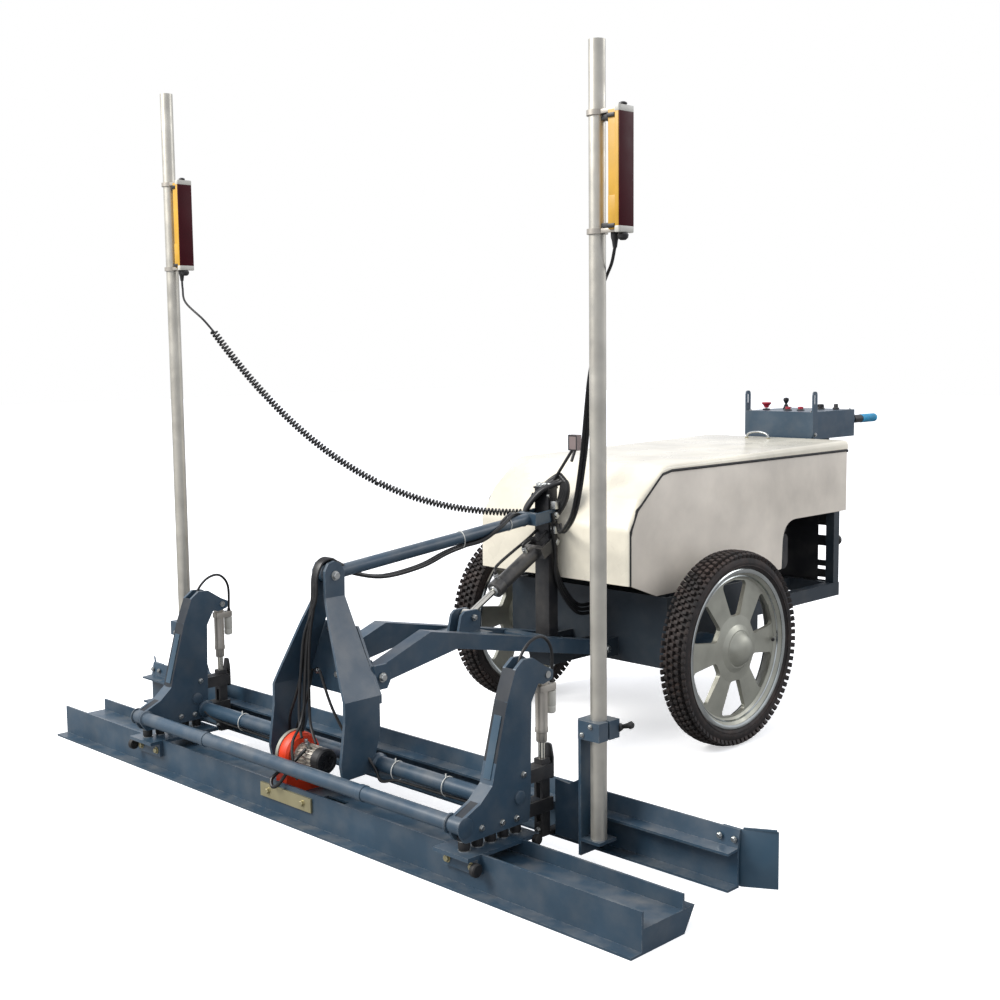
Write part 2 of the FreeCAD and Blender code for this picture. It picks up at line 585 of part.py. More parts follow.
def receivers():
    y, r = s.mast_line, s.mast_radius
    low, high = s.receiver_low, s.receiver_high
    for label, sign in (("right", 1), ("left", -1)):
        mast = s.mast_at * sign
        near = mast + s.receiver_gap
        far = near + s.receiver_wide
        case = box(f"case_{label}", (near, far - s.window_wrap),
                   (y - s.receiver_deep * 0.5, y + s.receiver_deep * 0.5), (low, high))
        window = box(f"window_{label}", (far - s.window_wrap, far),
                     (y - s.receiver_deep * 0.46, y + s.receiver_deep * 0.46), (low + 10, high - 10))
        parts = [case, window]
        for number, z in enumerate((low + 4, high - 4 - s.receiver_clip)):
            ring = cut(f"clip_{label}_{number}",
                       box(f"clip_block_{label}_{number}", (mast - r - 7, near),
                           (y - r - 7, y + r + 7), (z, z + s.receiver_clip)),
                       rod(f"clip_bore_{label}_{number}", (mast, y, z - 1),
                           (mast, y, z + s.receiver_clip + 1), r + s.running_gap))
            knob = rod(f"clip_knob_{label}_{number}", (near + 18, y - s.receiver_deep * 0.5, z + 10),
                       (near + 18, y - s.receiver_deep * 0.5 - 14, z + 10), s.knob_radius)
            parts += [ring, knob]
        socket = rod(f"socket_{label}", (near + 14, y, low - 34), (near + 14, y, low), 11)
        keep(f"receiver_{label}", group(f"receiver_set_{label}", *parts, socket))


# ---- lifting linkage -------------------------------------------------------------------------

def lift_fork():
    tip_y, tip_z = s.fork_tip_line, s.fork_tip_height
    rear_y, rear_z = s.fork_rear_line, s.fork_rear_height
    r = s.boss_radius
    outline = [
        (tip_y, tip_z + r), (430, 477), (rear_y, rear_z + r), (rear_y, rear_z - r),
        (535, 410), (tip_y, tip_z - r),
    ]
    inside, outside = s.beam_inside, s.beam_inside + s.beam_wide
    beam = prism("fork_beam", "YZ", outline, inside, outside)
    bosses = [rod("boss_tip", (inside, tip_y, tip_z), (outside, tip_y, tip_z), r),
              rod("boss_rear", (inside, rear_y, rear_z), (outside, rear_y, rear_z), r)]
    right = fuse("fork_right", beam, *bosses)
    middle = box("fork_middle", (-inside, inside), (628, 732), (386, 424))
    rear = box("fork_rear", (-inside, inside), (930, 970), (345, s.lever_height))
    cheeks = []
    cheek = [(632, 423), (646, 478), (662, 490), (712, 490), (728, 478), (726, 420)]
    for number, x in enumerate((17, -26)):
        cheeks.append(prism(f"fork_cheek_{number}", "YZ", cheek,
                            x, x + s.cheek_sheet))
    welded = fuse("fork_weld", right, mirror("fork_left", right), middle, rear, *cheeks)
    wide = outside + 1
    gap = s.pivot_radius + s.running_gap
    holes = [rod("fork_tip_hole", (-wide, tip_y, tip_z), (wide, tip_y, tip_z), gap),
             rod("fork_rear_hole", (-wide, rear_y, rear_z), (wide, rear_y, rear_z), gap),
             rod("fork_rod_hole", (-30, s.rod_pin_line, s.rod_pin_height),
                 (30, s.rod_pin_line, s.rod_pin_height), gap - 3)]
    keep("lift_fork", cut("fork", welded, *holes))

    pins = []
    for sign in (-1, 1):
        near, far = (inside - 16) * sign, (outside + 16) * sign
        pins.append(rod(f"tip_pin_{sign + 1}", (near, tip_y, tip_z), (far, tip_y, tip_z), s.pivot_radius))
    pins.append(rod("rod_pin", (-31, s.rod_pin_line, s.rod_pin_height),
                    (31, s.rod_pin_line, s.rod_pin_height), s.pivot_radius - 3))
    keep("fork_pins", group("fork_pin_set", *pins))


def point_along(start, end, distance):
    """The point this far from start towards end, both given as (y, z)."""
    dy, dz = end[0] - start[0], end[1] - start[1]
    length = math.hypot(dy, dz)
    return (0.0, start[0] + dy / length * distance, start[1] + dz / length * distance)


def clevis(name, pivot, towards, length, root):
    """Two cheek plates beside a pivot, joined by a bridge on the line towards another point."""
    centre = (0.0, pivot[0], pivot[1])
    turn = math.degrees(math.atan2(towards[1] - pivot[1], towards[0] - pivot[0]))
    parts = []
    inner, t = s.cheek_in.value, s.cheek_sheet.value
    for number, x in enumerate((inner, -inner - t)):
        cheek = doc.addObject("Part::Box", f"{name}_cheek_{number}")
        bind(cheek, "Length", s.cheek_sheet)
        cheek.Width = length
        bind(cheek, "Height", s.boss_radius * 1.6)
        half = s.boss_radius.value * 0.8
        base = Placement(Vector(x, *centre[1:]), Rotation(Vector(1, 0, 0), turn))
        cheek.Placement = base.multiply(Placement(Vector(0, 0, -half), Rotation()))
        parts.append(cheek)
        parts.append(rod(f"{name}_round_{number}", (x, *centre[1:]), (x + t, *centre[1:]), half))
    bridge = doc.addObject("Part::Box", f"{name}_bridge")
    bridge.Length = 2 * (inner + t)
    bridge.Width = root
    bind(bridge, "Height", s.boss_radius * 1.6)
    base = Placement(Vector(-inner - t, *centre[1:]), Rotation(Vector(1, 0, 0), turn))
    bridge.Placement = base.multiply(Placement(Vector(0, length - root, -s.boss_radius.value * 0.8),
                                               Rotation()))
    return [*parts, bridge]


def top_link():
    tip = (s.link_tip_line.value, s.link_tip_height.value)
    rear = (s.link_rear_line.value, s.link_rear_height.value)
    half = s.tower_top_half - 2
    eye = rod("link_eye", (-half, *tip), (half, *tip), s.boss_radius)
    tube = rod("link_tube", point_along(tip, rear, 12), point_along(rear, tip, 78), s.link_radius)
    fork = clevis("link", rear, tip, 92, 20)
    hole = rod("link_eye_hole", (-half - 1, *tip), (half + 1, *tip), s.pivot_radius + s.open_gap)
    pin = rod("link_pin_hole", (-60, *rear), (60, *rear), s.pivot_radius + s.running_gap)
    keep("top_link", cut("link", fuse("link_weld", eye, tube, *fork), hole, pin))


def lift_cylinder():
    foot = (s.barrel_pin_line.value, s.barrel_pin_height.value)
    tip = (s.rod_pin_line.value, s.rod_pin_height.value)
    head = clevis("barrel", foot, tip, s.barrel_start.value, 18)
    tube = rod("barrel_tube", point_along(foot, tip, s.barrel_start.value - 2),
               point_along(foot, tip, s.barrel_end.value), s.barrel_radius)
    bore = rod("barrel_bore", point_along(foot, tip, s.barrel_start.value + 14),
               point_along(foot, tip, s.barrel_end.value - 22), s.bore_radius)
    gland = rod("barrel_gland", point_along(foot, tip, s.barrel_end.value - 30),
                point_along(foot, tip, s.barrel_end.value + 2), s.rod_radius + s.running_gap)
    pin = rod("barrel_pin_hole", (-60, *foot), (60, *foot), s.pivot_radius + s.running_gap)
    keep("cylinder_barrel", cut("barrel", fuse("barrel_weld", tube, *head), bore, gland, pin))

    eye = rod("rod_eye", (-14, *tip), (14, *tip), 22)
    stem = rod("rod_stem", point_along(foot, tip, s.rod_start.value), point_along(tip, foot, 10),
               s.rod_radius)
    piston = rod("rod_piston", point_along(foot, tip, s.rod_start.value),
                 point_along(foot, tip, s.rod_start.value + 20), s.bore_radius - s.running_gap)
    hole = rod("rod_eye_hole", (-15, *tip), (15, *tip), s.pivot_radius - 3 + s.open_gap)
    keep("cylinder_rod", cut("piston_rod", fuse("rod_weld", eye, stem, piston), hole))


# ---- chassis ---------------------------------------------------------------------------------

def chassis_frame():
    front, rear, half, t = s.box_front, s.box_rear, s.box_half, s.plate
    low, top = s.box_low, s.box_top
    out, wide, back = s.rail_out, s.rail_wide, s.frame_rear
    members = [
        box("front_plate", (-half, half), (front, front + t), (low, top)),
        box("deck_plate", (t - out, out - t), (front + t, rear), (top - t, top)),
        box("belly_plate", (-half, half), (front, rear), (low, low + t)),
        box("rear_plate_low", (-half, half), (rear - t, rear), (low, s.rail_high)),
        box("end_rail", (-out, out), (back - wide, back), (s.rail_low, s.rail_high)),
        box("top_cross", (-out + 3, out - 3), (back - wide, back), (s.post_top - wide, s.post_top)),
        box("tongue", (-s.tongue_half, s.tongue_half), (s.chassis_mast_front - 15, front),
            (s.tongue_low, s.tongue_high)),
    ]
    for label, sign in (("r", 1), ("l", -1)):
        def across(near, far):
            return (near, far) if sign > 0 else (-far, -near)
        members += [
            box(f"cheek_{label}", across(half - t, half), (front, rear), (low, top)),
            box(f"rail_{label}", across(out - wide, out), (rear - t, back), (s.rail_low, s.rail_high)),
            box(f"post_{label}", across(out - wide, out - 3), (back - wide, back),
                (s.rail_high, s.post_top)),
            box(f"bearer_{label}", across(s.bearer_in, s.bearer_out), (rear - t, back),
                (s.rail_high - 30, s.rail_high)),
            box(f"front_post_{label}", across(out - wide, out - 6),
                (s.stay_front, s.stay_front + s.stay_deep), (top - t, s.stay_high)),
            box(f"top_rail_{label}", across(out - wide, out - 6), (s.stay_front, back),
                (s.stay_low, s.stay_high)),
            box(f"console_arm_{label}", across(s.support_in, s.support_out),
                (back - wide, s.support_rear), (s.post_top - wide, s.post_top)),
            box(f"console_riser_{label}", across(s.support_in, s.support_out),
                (s.support_front, s.support_rear), (s.post_top - wide, s.console_low)),
            box(f"ear_in_{label}", across(58, 69), (s.fork_rear_line - 26, front + 2),
                (s.fork_rear_height - 30, s.fork_rear_height + 30)),
            box(f"ear_out_{label}", across(131, 142), (s.fork_rear_line - 26, front + 2),
                (s.fork_rear_height - 30, s.fork_rear_height + 30)),
        ]
    axle = rod("axle_hole", (-half - 1, s.axle_line, s.wheel_radius),
               (half + 1, s.axle_line, s.wheel_radius), s.axle_radius)
    pins = rod("ear_holes", (-150, s.fork_rear_line, s.fork_rear_height),
               (150, s.fork_rear_line, s.fork_rear_height), s.pivot_radius + s.running_gap)
    keep("chassis_frame", cut("chassis", fuse("chassis_weld", *members), axle, pins))

    half_mast = s.chassis_mast_half
    front, top = s.chassis_mast_front, s.chassis_mast_top
    deep = front + s.chassis_mast_deep
    post = box("mast_post", (-half_mast, half_mast), (front, deep), (s.tongue_high, top - s.mast_cap))
    cap = box("mast_cap", (-half_mast - 4, half_mast + 4), (front - 2, deep), (top - s.mast_cap, top))
    holes = [rod("mast_link_hole", (-60, s.link_rear_line, s.link_rear_height),
                 (60, s.link_rear_line, s.link_rear_height), s.pivot_radius + s.running_gap),
             rod("mast_barrel_hole", (-60, s.barrel_pin_line, s.barrel_pin_height),
                 (60, s.barrel_pin_line, s.barrel_pin_height), s.pivot_radius + s.running_gap)]
    keep("chassis_mast", cut("hose_mast", fuse("hose_mast_weld", post, cap), *holes))

    pins = [rod("link_pin", (-46, s.link_rear_line, s.link_rear_height),
                (46, s.link_rear_line, s.link_rear_height), s.pivot_radius),
            rod("barrel_pin", (-46, s.barrel_pin_line, s.barrel_pin_height),
                (46, s.barrel_pin_line, s.barrel_pin_height), s.pivot_radius),
            rod("fork_pin_r", (54, s.fork_rear_line, s.fork_rear_height),
                (147, s.fork_rear_line, s.fork_rear_height), s.pivot_radius)]
    keep("pivot_pins", group("pivot_pin_set", *pins, mirror("fork_pin_l", pins[2])))

    beam = rod("axle_tube", (-s.axle_half, s.axle_line, s.wheel_radius),
               (s.axle_half, s.axle_line, s.wheel_radius), s.axle_radius)
    spindle = rod("axle_spindle", (-s.spindle_half, s.axle_line, s.wheel_radius),
                  (s.spindle_half, s.axle_line, s.wheel_radius), s.spindle_radius)
    keep("axle_beam", fuse("axle", beam, spindle))


def rectangle(left, right, low, high):
    """The four corners of a rectangle."""
    return [(left, low), (right, low), (right, high), (left, high)]


def engine():
    crank = box("crankcase", (-s.crank_half, s.crank_half), (s.crank_front, s.crank_rear),
                (s.rail_high, s.crank_top))
    head = box("cylinder_head", (-s.cylinder_half, s.cylinder_half),
               (s.cylinder_front, s.crank_front - 2), (s.cylinder_low, s.cylinder_high))
    tank = prism("fuel_tank", "XZ", rectangle(-s.fuel_half, s.fuel_half, s.fuel_low, s.fuel_high),
                 s.fuel_front, s.fuel_rear, 30)
    muffler = prism("muffler", "YZ",
                    rectangle(s.muffler_front, s.muffler_rear, s.muffler_low, s.muffler_high),
                    s.muffler_in, s.muffler_out, 25)
    starter = rod("recoil_starter", (-10, s.starter_front, s.starter_height),
                  (-10, s.starter_rear, s.starter_height), s.starter_radius)
    keep("engine", group("engine_set", crank, head, tank, muffler, starter))


def hydraulics_and_battery():
    y, z = s.pump_line, s.pump_height
    pump = rod("pump_body", (-s.pump_in - 1, y, z), (-s.pump_out, y, z), s.pump_radius)
    flange = rod("pump_face", (-s.pump_in, y, z), (-s.flange_out, y, z), s.pump_flange)
    keep("hydraulic_pump", fuse("pump", pump, flange))
    tank = prism("oil_tank_shell", "XY",
                 rectangle(-s.oil_left, -s.oil_right, s.oil_front, s.oil_rear), s.box_top, s.oil_top, 25)
    filler = rod("oil_filler", (-s.filler_left, s.filler_line, s.oil_top - 1),
                 (-s.filler_left, s.filler_line, s.filler_top), s.filler_radius)
    keep("oil_tank", fuse("oil", tank, filler))
    case = box("battery_case", (s.battery_left, s.battery_right), (s.battery_front, s.battery_rear),
               (s.box_top, s.battery_top))
    terminals = []
    for number, x in enumerate((s.battery_left + 40, s.battery_right - 40)):
        terminals.append(rod(f"battery_terminal_{number}", (x, s.terminal_line, s.battery_top - 1),
                             (x, s.terminal_line, s.terminal_top), s.terminal_radius))
    keep("battery", fuse("battery_weld", case, *terminals))


# ---- wheels ----------------------------------------------------------------------------------

def wheel(label, sign):
    flip = sign < 0
    centre = (s.wheel_at * sign, s.axle_line, s.wheel_radius)
    r, seat, half = s.wheel_radius, s.rim_radius, s.tyre_half
    keep(f"tyre_{label}", turned(f"tyre_body_{label}", centre, [
        (half * -0.65, seat), (half * -0.92, seat + 14), (-half, seat + 32), (half * -0.8, r - 12),
        (half * -0.3, r), (half * 0.3, r), (half * 0.8, r - 12), (half, seat + 32),
        (half * 0.92, seat + 14), (half * 0.65, seat)], flip))
    hub = s.hub_radius
    disc = turned(f"rim_body_{label}", centre, [
        (-34, seat), (34, seat), (34, seat - 8), (18, seat - 26), (14, seat - 30), (20, 110),
        (26, 78), (36, 62), (36, hub), (-34, hub), (-34, 58), (4, 70),
        (2, seat - 34), (-28, seat - 14), (-34, seat - 8)], flip)
    windows = []
    count = int(SIZES["spoke_count"])
    inner, outer, narrow, broad = 106.0, 214.0, 24.0, 68.0
    for number in range(count):
        angle = 2 * math.pi * (number + 0.5) / count
        radial = Vector(0, math.cos(angle), math.sin(angle))
        side = Vector(0, -math.sin(angle), math.cos(angle))
        corners = [radial * inner - side * narrow, radial * outer - side * broad,
                   radial * (outer + 9), radial * outer + side * broad, radial * inner + side * narrow]
        outline = [(s.axle_line + corner.y, s.wheel_radius + corner.z) for corner in corners]
        windows.append(prism(f"rim_window_{label}_{number}", "YZ", outline,
                             centre[0] - 60, centre[0] + 60, 14))
    keep(f"rim_{label}", cut(f"rim_cut_{label}", disc, *windows))
    gap = s.spindle_radius + s.running_gap
    cartridge = turned(f"bearing_{label}", centre, [
        (-s.hub_half, gap), (s.hub_half, gap), (s.hub_half, hub), (-s.hub_half, hub)], flip)
    cap = turned(f"cap_{label}", centre, [
        (36, 50), (44, 50), (60, 34), (66, 0), (60, 0), (54, 30), (36, 42)], flip)
    keep(f"hub_{label}", group(f"hub_set_{label}", cartridge, cap))


# ---- hood and fixed panels -------------------------------------------------------------------

PANEL_EDGE = [(1095, 714), (1128, 771), (1250, 880), (1300, 890), (2371, 892)]
TRIM_EDGE = [(1087, 716), (1121, 776), (1247, 888), (1299, 898), (2371, 900)]
HINGE_LINES = (1420, 1830, 2240)
HOOD_EDGE = [(1080, 725), (1117, 790), (1242, 901), (1305, 918)]


def rear_guard():
    """The plate across the open rear end below the panel, with windows beside each corner post."""
    edge = s.rail_out - s.rail_wide - 1
    front, back = s.guard_front, s.guard_front + s.guard_sheet
    plate = box("guard_plate", (-edge, edge), (front, back), (s.rail_high, s.panel_step))
    windows = []
    for number, (low, high) in enumerate(((404, 413), (444, 456), (479, 534), (574, 612))):
        for sign in (-1, 1):
            x = (236, 276) if sign > 0 else (-276, -236)
            windows.append(box(f"guard_window_{number}{sign + 1}", x, (front - 1, back + 1), (low, high)))
    return cut("guard", plate, *windows)


def panels():
    step = s.panel_step
    lower = [(2371, step), (2086, step), (2010, 660), (1960, 634),
             (1944, 600), (1940, s.panel_low), (1226, s.panel_low), (1095, 544)]
    outline = PANEL_EDGE + lower
    out = s.rail_out
    sheet_panel = prism("side_sheet", "YZ", outline, out - 3, out)
    rear = box("rear_sheet", (-out + 4, out - 4), (s.frame_rear, s.frame_rear + 3),
               (step, s.post_top - s.rail_wide))
    keep("fixed_panels", group("panel_set", sheet_panel, mirror("side_sheet_twin", sheet_panel), rear,
                               rear_guard()))
    trim = TRIM_EDGE[::-1] + [(1087, 544), (1094.9, 544)] + [(y - 0.1, z + 0.1) for y, z in PANEL_EDGE]
    edging = prism("trim_strip", "YZ", trim, out - 5, out + 2)
    keep("panel_trims", pair("trim_pair", edging))


def hood():
    half, t = s.hood_half, s.hood_sheet
    front, low, rear, top = s.hood_front, s.hood_low, s.hood_rear, s.hood_rear_top
    edge = HOOD_EDGE
    outer = [(front, low), *edge, (rear, top), (rear, low)]
    inner_edge = [(y + t * 0.95, z - t * 0.95) for y, z in HOOD_EDGE]
    inner = [(front + t, low - 1), *inner_edge, (rear + 1, top - t), (rear + 1, low - 1)]
    shell = prism("hood_outer", "YZ", outer, -half, half)
    hollow = prism("hood_inner", "YZ", inner, t - half, half - t)
    opening = [(1086.5, low - 1), (1086.5, 716.2), (1120.5, 776.5),
               (1246.5, 888.6), (1298.8, 898.6), (2373, 900.6),
               (2373, low - 1)]
    sides = prism("hood_sides", "YZ", opening, -half - 1, half + 1)
    lugs = []
    axis_x, axis_z = -s.hinge_out, s.hinge_height
    for number, y in enumerate(HINGE_LINES):
        lugs.append(box(f"hood_leaf_{number}", (axis_x, t - half), (y, y + s.hinge_long),
                        (axis_z + 5, axis_z + 25)))
        lugs.append(rod(f"hood_knuckle_{number}", (axis_x, y, axis_z),
                        (axis_x, y + s.hinge_long, axis_z), s.knuckle))
    hole = rod("hood_pin_hole", (axis_x, 1300, axis_z), (axis_x, rear, axis_z),
               s.hinge_pin + s.running_gap)
    keep("hood_shell", cut("hood", fuse("hood_weld", cut("hood_skin", shell, hollow, sides), *lugs), hole))
    handle = pipe("handle_bow", [(-80, 2300, 931.2), (-74, 2300, 946), (-60, 2300, 952), (0, 2300, 952),
                                 (14, 2300, 946), (20, 2300, 931.2)], 4)
    keep("hood_handle", handle)


def hood_hinges():
    axis_x, axis_z, out = -s.hinge_out, s.hinge_height, s.rail_out
    leaf_long, r = s.hinge_leaf, s.knuckle
    parts = []
    for number, y in enumerate(HINGE_LINES):
        starts = {"front": y - leaf_long - 2, "back": y + s.hinge_long + 2}
        parts.append(rod(f"hinge_pin_{number}", (axis_x, starts["front"], axis_z),
                         (axis_x, starts["back"] + leaf_long, axis_z), s.hinge_pin))
        for side, start in starts.items():
            end = start + leaf_long
            leaf = box(f"hinge_leaf_{side}_{number}", (axis_x - r, -out), (start, end),
                       (axis_z - 45, axis_z - r))
            neck = box(f"hinge_neck_{side}_{number}", (axis_x - r, axis_x + 5), (start, end),
                       (axis_z - 12, axis_z - 2))
            barrel = rod(f"hinge_barrel_{side}_{number}", (axis_x, start, axis_z), (axis_x, end, axis_z), r)
            hole = rod(f"hinge_hole_{side}_{number}", (axis_x, start - 1, axis_z),
                       (axis_x, end + 1, axis_z), s.hinge_pin)
            weld = fuse(f"hinge_weld_{side}_{number}", leaf, neck, barrel)
            parts.append(cut(f"hinge_{side}_{number}", weld, hole))
    keep("hood_hinges", group("hinge_set", *parts))


# ---- console ---------------------------------------------------------------------------------

def console():
    half, t = s.console_half, s.console_sheet
    front, rear, low, top = s.console_front, s.console_rear, s.console_low, s.console_top
    outer = box("console_outer", (-half, half), (front, rear), (low, top))
    inner = box("console_inner", (t - half, half - t), (front + t, rear - t), (low - 1, top - t))
    ears = []
    for label, sign in (("r", 1), ("l", -1)):
        near, far = (half, half + s.ear_sheet) if sign > 0 else (-half - s.ear_sheet, -half)
        ear = prism(f"ear_{label}", "YZ", [(front, low + 4), (front + s.ear_wide, low + 4),
                                           (front + s.ear_wide, s.ear_top), (front, s.ear_top)],
                    near, far, 15)
        slot = box(f"ear_slot_{label}", (near - 1, far + 1), (front + 11, front + 21),
                   (s.ear_top - 48, s.ear_top - 14))
        ears.append(cut(f"ear_slotted_{label}", ear, slot))
    skin = cut("console_skin", outer, inner)
    holes = [rod(f"control_hole_{number}", (x, y, top - t - 1), (x, y, top + 1), radius)
             for number, (x, y, radius) in enumerate(((-118, 2492, 5.05), (-70, 2560, 14), (-8, 2478, 5.05),
                                                      (36, 2500, 5.05), (40, 2640, 5.05)))]
    keep("console_box", cut("console", fuse("console_weld", skin, *ears), *holes))

    bars, grips = [], []
    for label, sign in (("r", 1), ("l", -1)):
        x = s.bar_at * sign
        y_end, z, r = s.bar_end, s.bar_height, s.bar_radius
        bars.append(rod(f"bar_{label}", (x, rear, z), (x, y_end - 4, z), r))
        tube = rod(f"grip_{label}", (x, y_end - s.grip_long, z), (x, y_end, z), s.grip_radius)
        hole = rod(f"grip_hole_{label}", (x, y_end - s.grip_long - 1, z), (x, y_end - 4, z), r)
        collar = rod(f"collar_{label}", (x, rear + 8, z), (x, y_end - s.grip_long - 2, z), 16)
        collar_hole = rod(f"collar_hole_{label}", (x, rear + 7, z), (x, y_end - s.grip_long, z), r)
        grips.append(cut(f"grip_sleeve_{label}", tube, hole))
        grips.append(cut(f"collar_sleeve_{label}", collar, collar_hole))
    keep("handlebars", group("bar_set", *bars))
    keep("handle_grips", group("grip_set", *grips))


def button(name, x, y, cap_radius, cap_low, cap_high):
    """A push button: a stem through the console's top and a cap above it."""
    top = s.console_top
    stem = rod(f"{name}_stem", (x, y, top - s.stem_below), (x, y, top + cap_low + 1), s.stem_radius)
    cap = rod(f"{name}_cap", (x, y, top + cap_low), (x, y, top + cap_high), cap_radius)
    keep(name, fuse(f"{name}_weld", stem, cap))


def controls():
    top = s.console_top
    button("e_stop_button", -118, 2492, 19, 16, 30)
    button("start_button", -8, 2478, s.cap_radius, 7, 15)
    button("stop_button", 36, 2500, s.cap_radius, 7, 15)
    x, y = s.knob_left, s.knob_line
    knob = rod("speed_cap", (x, y, top + 2), (x, y, top + s.knob_high), s.knob_cap)
    stem = rod("speed_stem", (x, y, top - s.stem_below), (x, y, top + 3), s.stem_radius)
    keep("speed_knob", fuse("speed_weld", knob, stem))
    x, y = s.stick_left, s.stick_line
    stick = rod("stick", (x, y, top - s.stem_below * 2), (x, y, top + s.stick_high), s.stem_radius)
    ball = doc.addObject("Part::Sphere", "stick_ball")
    bind(ball, "Radius", s.stick_ball)
    for axis, part in zip("xyz", (x, y, top + s.stick_high + 6)):
        bind(ball, f"Placement.Base.{axis}", part)
    boss = rod("stick_boss", (x - 5, y, top - 2), (x + 5, y, top - 2), 9)
    keep("joystick", fuse("joystick_weld", stick, ball, boss))


def socket_box():
    """The small box on a stalk beside the hose mast, where the receiver cables plug in."""
    case = box("socket_case", (s.socket_left, s.socket_right), (s.socket_front, s.socket_rear),
               (s.socket_low, s.socket_high))
    x, y, foot = s.stalk_at, s.stalk_line, s.chassis_mast_top
    upright = rod("socket_foot", (x, y, foot), (x, y, foot + s.stalk_foot), s.stalk_radius)
    stalk = rod("socket_stalk", (x, y, foot + s.stalk_foot - 3),
                (s.socket_left + 14, y, s.socket_low + 8), s.stalk_radius)
    keep("socket_box", fuse("socket_weld", case, upright, stalk))


# ---- signal cables ---------------------------------------------------------------------------

LEFT_RUN = [(-54, 1046, 757), (-109, 955, 765), (-223, 839, 800), (-336, 724, 847), (-449, 610, 924),
            (-561, 497, 1030), (-627, 430, 1111), (-692, 364, 1218), (-750, 305, 1353),
            (-800, 270, 1440), (-840, 261, 1508)]


def signal_cables():
    run = LEFT_RUN
    keep("signal_cable_rear", pipe("cable_rear", run[0:4], 6))
    keep("signal_cable_mid", pipe("cable_mid", run[4:8], 6))
    keep("signal_cable_front", pipe("cable_front", run[8:10], 4))


def build():
    vibrating_pan()
    vibrator()
    hangers_and_isolators()
    arm_frames()
    cross_tubes()
    tower()
    actuators()
    plow()
    mast_brackets()
    receivers()
    lift_fork()
    top_link()
    lift_cylinder()
    chassis_frame()
    engine()
    hydraulics_and_battery()
    wheel("right", 1)
    wheel("left", -1)
    panels()
    hood()
    hood_hinges()
    console()
    controls()
    socket_box()
    signal_cables()


def check_and_write():
    """Stop on any failed object, then write one file for each sub-part."""
    doc.recompute()
    for item in doc.Objects:
        if "Invalid" in item.State or "Error" in item.State:
            raise RuntimeError(f"{item.Label} failed: {item.State}")
    for name, piece in NODES.items():
        if piece.Shape.isNull() or not piece.Shape.isValid() or not piece.Shape.Solids:
            raise RuntimeError(f"{name} has no valid solid")
    os.makedirs("parts", exist_ok=True)
    for name, piece in NODES.items():
        piece.Shape.exportStep(f"parts/{name}.step")
    print(len(NODES), "sub-parts written")


build()
check_and_write()
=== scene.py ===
"""Looks of a walk-behind laser screed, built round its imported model. Metres, X right, Y back, Z up."""
import json
import math
import random

import bmesh
import bpy
from mathutils import Matrix, Vector


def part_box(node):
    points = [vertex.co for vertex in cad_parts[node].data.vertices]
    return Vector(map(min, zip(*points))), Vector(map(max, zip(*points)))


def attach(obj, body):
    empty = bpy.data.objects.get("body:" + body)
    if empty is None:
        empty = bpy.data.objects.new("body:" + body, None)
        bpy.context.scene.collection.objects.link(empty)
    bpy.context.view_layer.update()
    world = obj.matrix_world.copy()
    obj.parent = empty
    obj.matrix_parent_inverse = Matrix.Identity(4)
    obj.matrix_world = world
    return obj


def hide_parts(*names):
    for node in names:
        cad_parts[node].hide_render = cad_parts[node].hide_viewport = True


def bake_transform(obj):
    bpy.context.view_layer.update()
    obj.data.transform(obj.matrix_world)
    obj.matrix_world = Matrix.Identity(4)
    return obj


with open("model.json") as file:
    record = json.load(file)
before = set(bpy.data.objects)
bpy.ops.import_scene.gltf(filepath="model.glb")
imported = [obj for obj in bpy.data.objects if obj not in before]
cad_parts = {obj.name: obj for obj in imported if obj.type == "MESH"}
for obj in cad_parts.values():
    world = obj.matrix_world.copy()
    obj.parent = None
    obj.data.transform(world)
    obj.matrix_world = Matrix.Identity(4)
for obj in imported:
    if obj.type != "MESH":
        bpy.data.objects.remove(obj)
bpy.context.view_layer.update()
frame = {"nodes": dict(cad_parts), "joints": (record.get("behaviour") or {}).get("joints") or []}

NODES = frame["nodes"]
JOINTS = {joint["name"]: joint for joint in frame["joints"]}
MM = 0.001
X, Y, Z = Vector((1, 0, 0)), Vector((0, 1, 0)), Vector((0, 0, 1))


def pivot(joint):
    """Where a hinge's axis stands."""
    return Vector(JOINTS[joint]["pos_m"])


# ---- materials -------------------------------------------------------------------------------

def srgb(red, green, blue):
    """A display colour, 0 to 255, as the linear colour that a shader takes."""
    def channel(value):
        value /= 255
        return value / 12.92 if value <= 0.04045 else ((value + 0.055) / 1.055) ** 2.4
    return (channel(red), channel(green), channel(blue), 1.0)


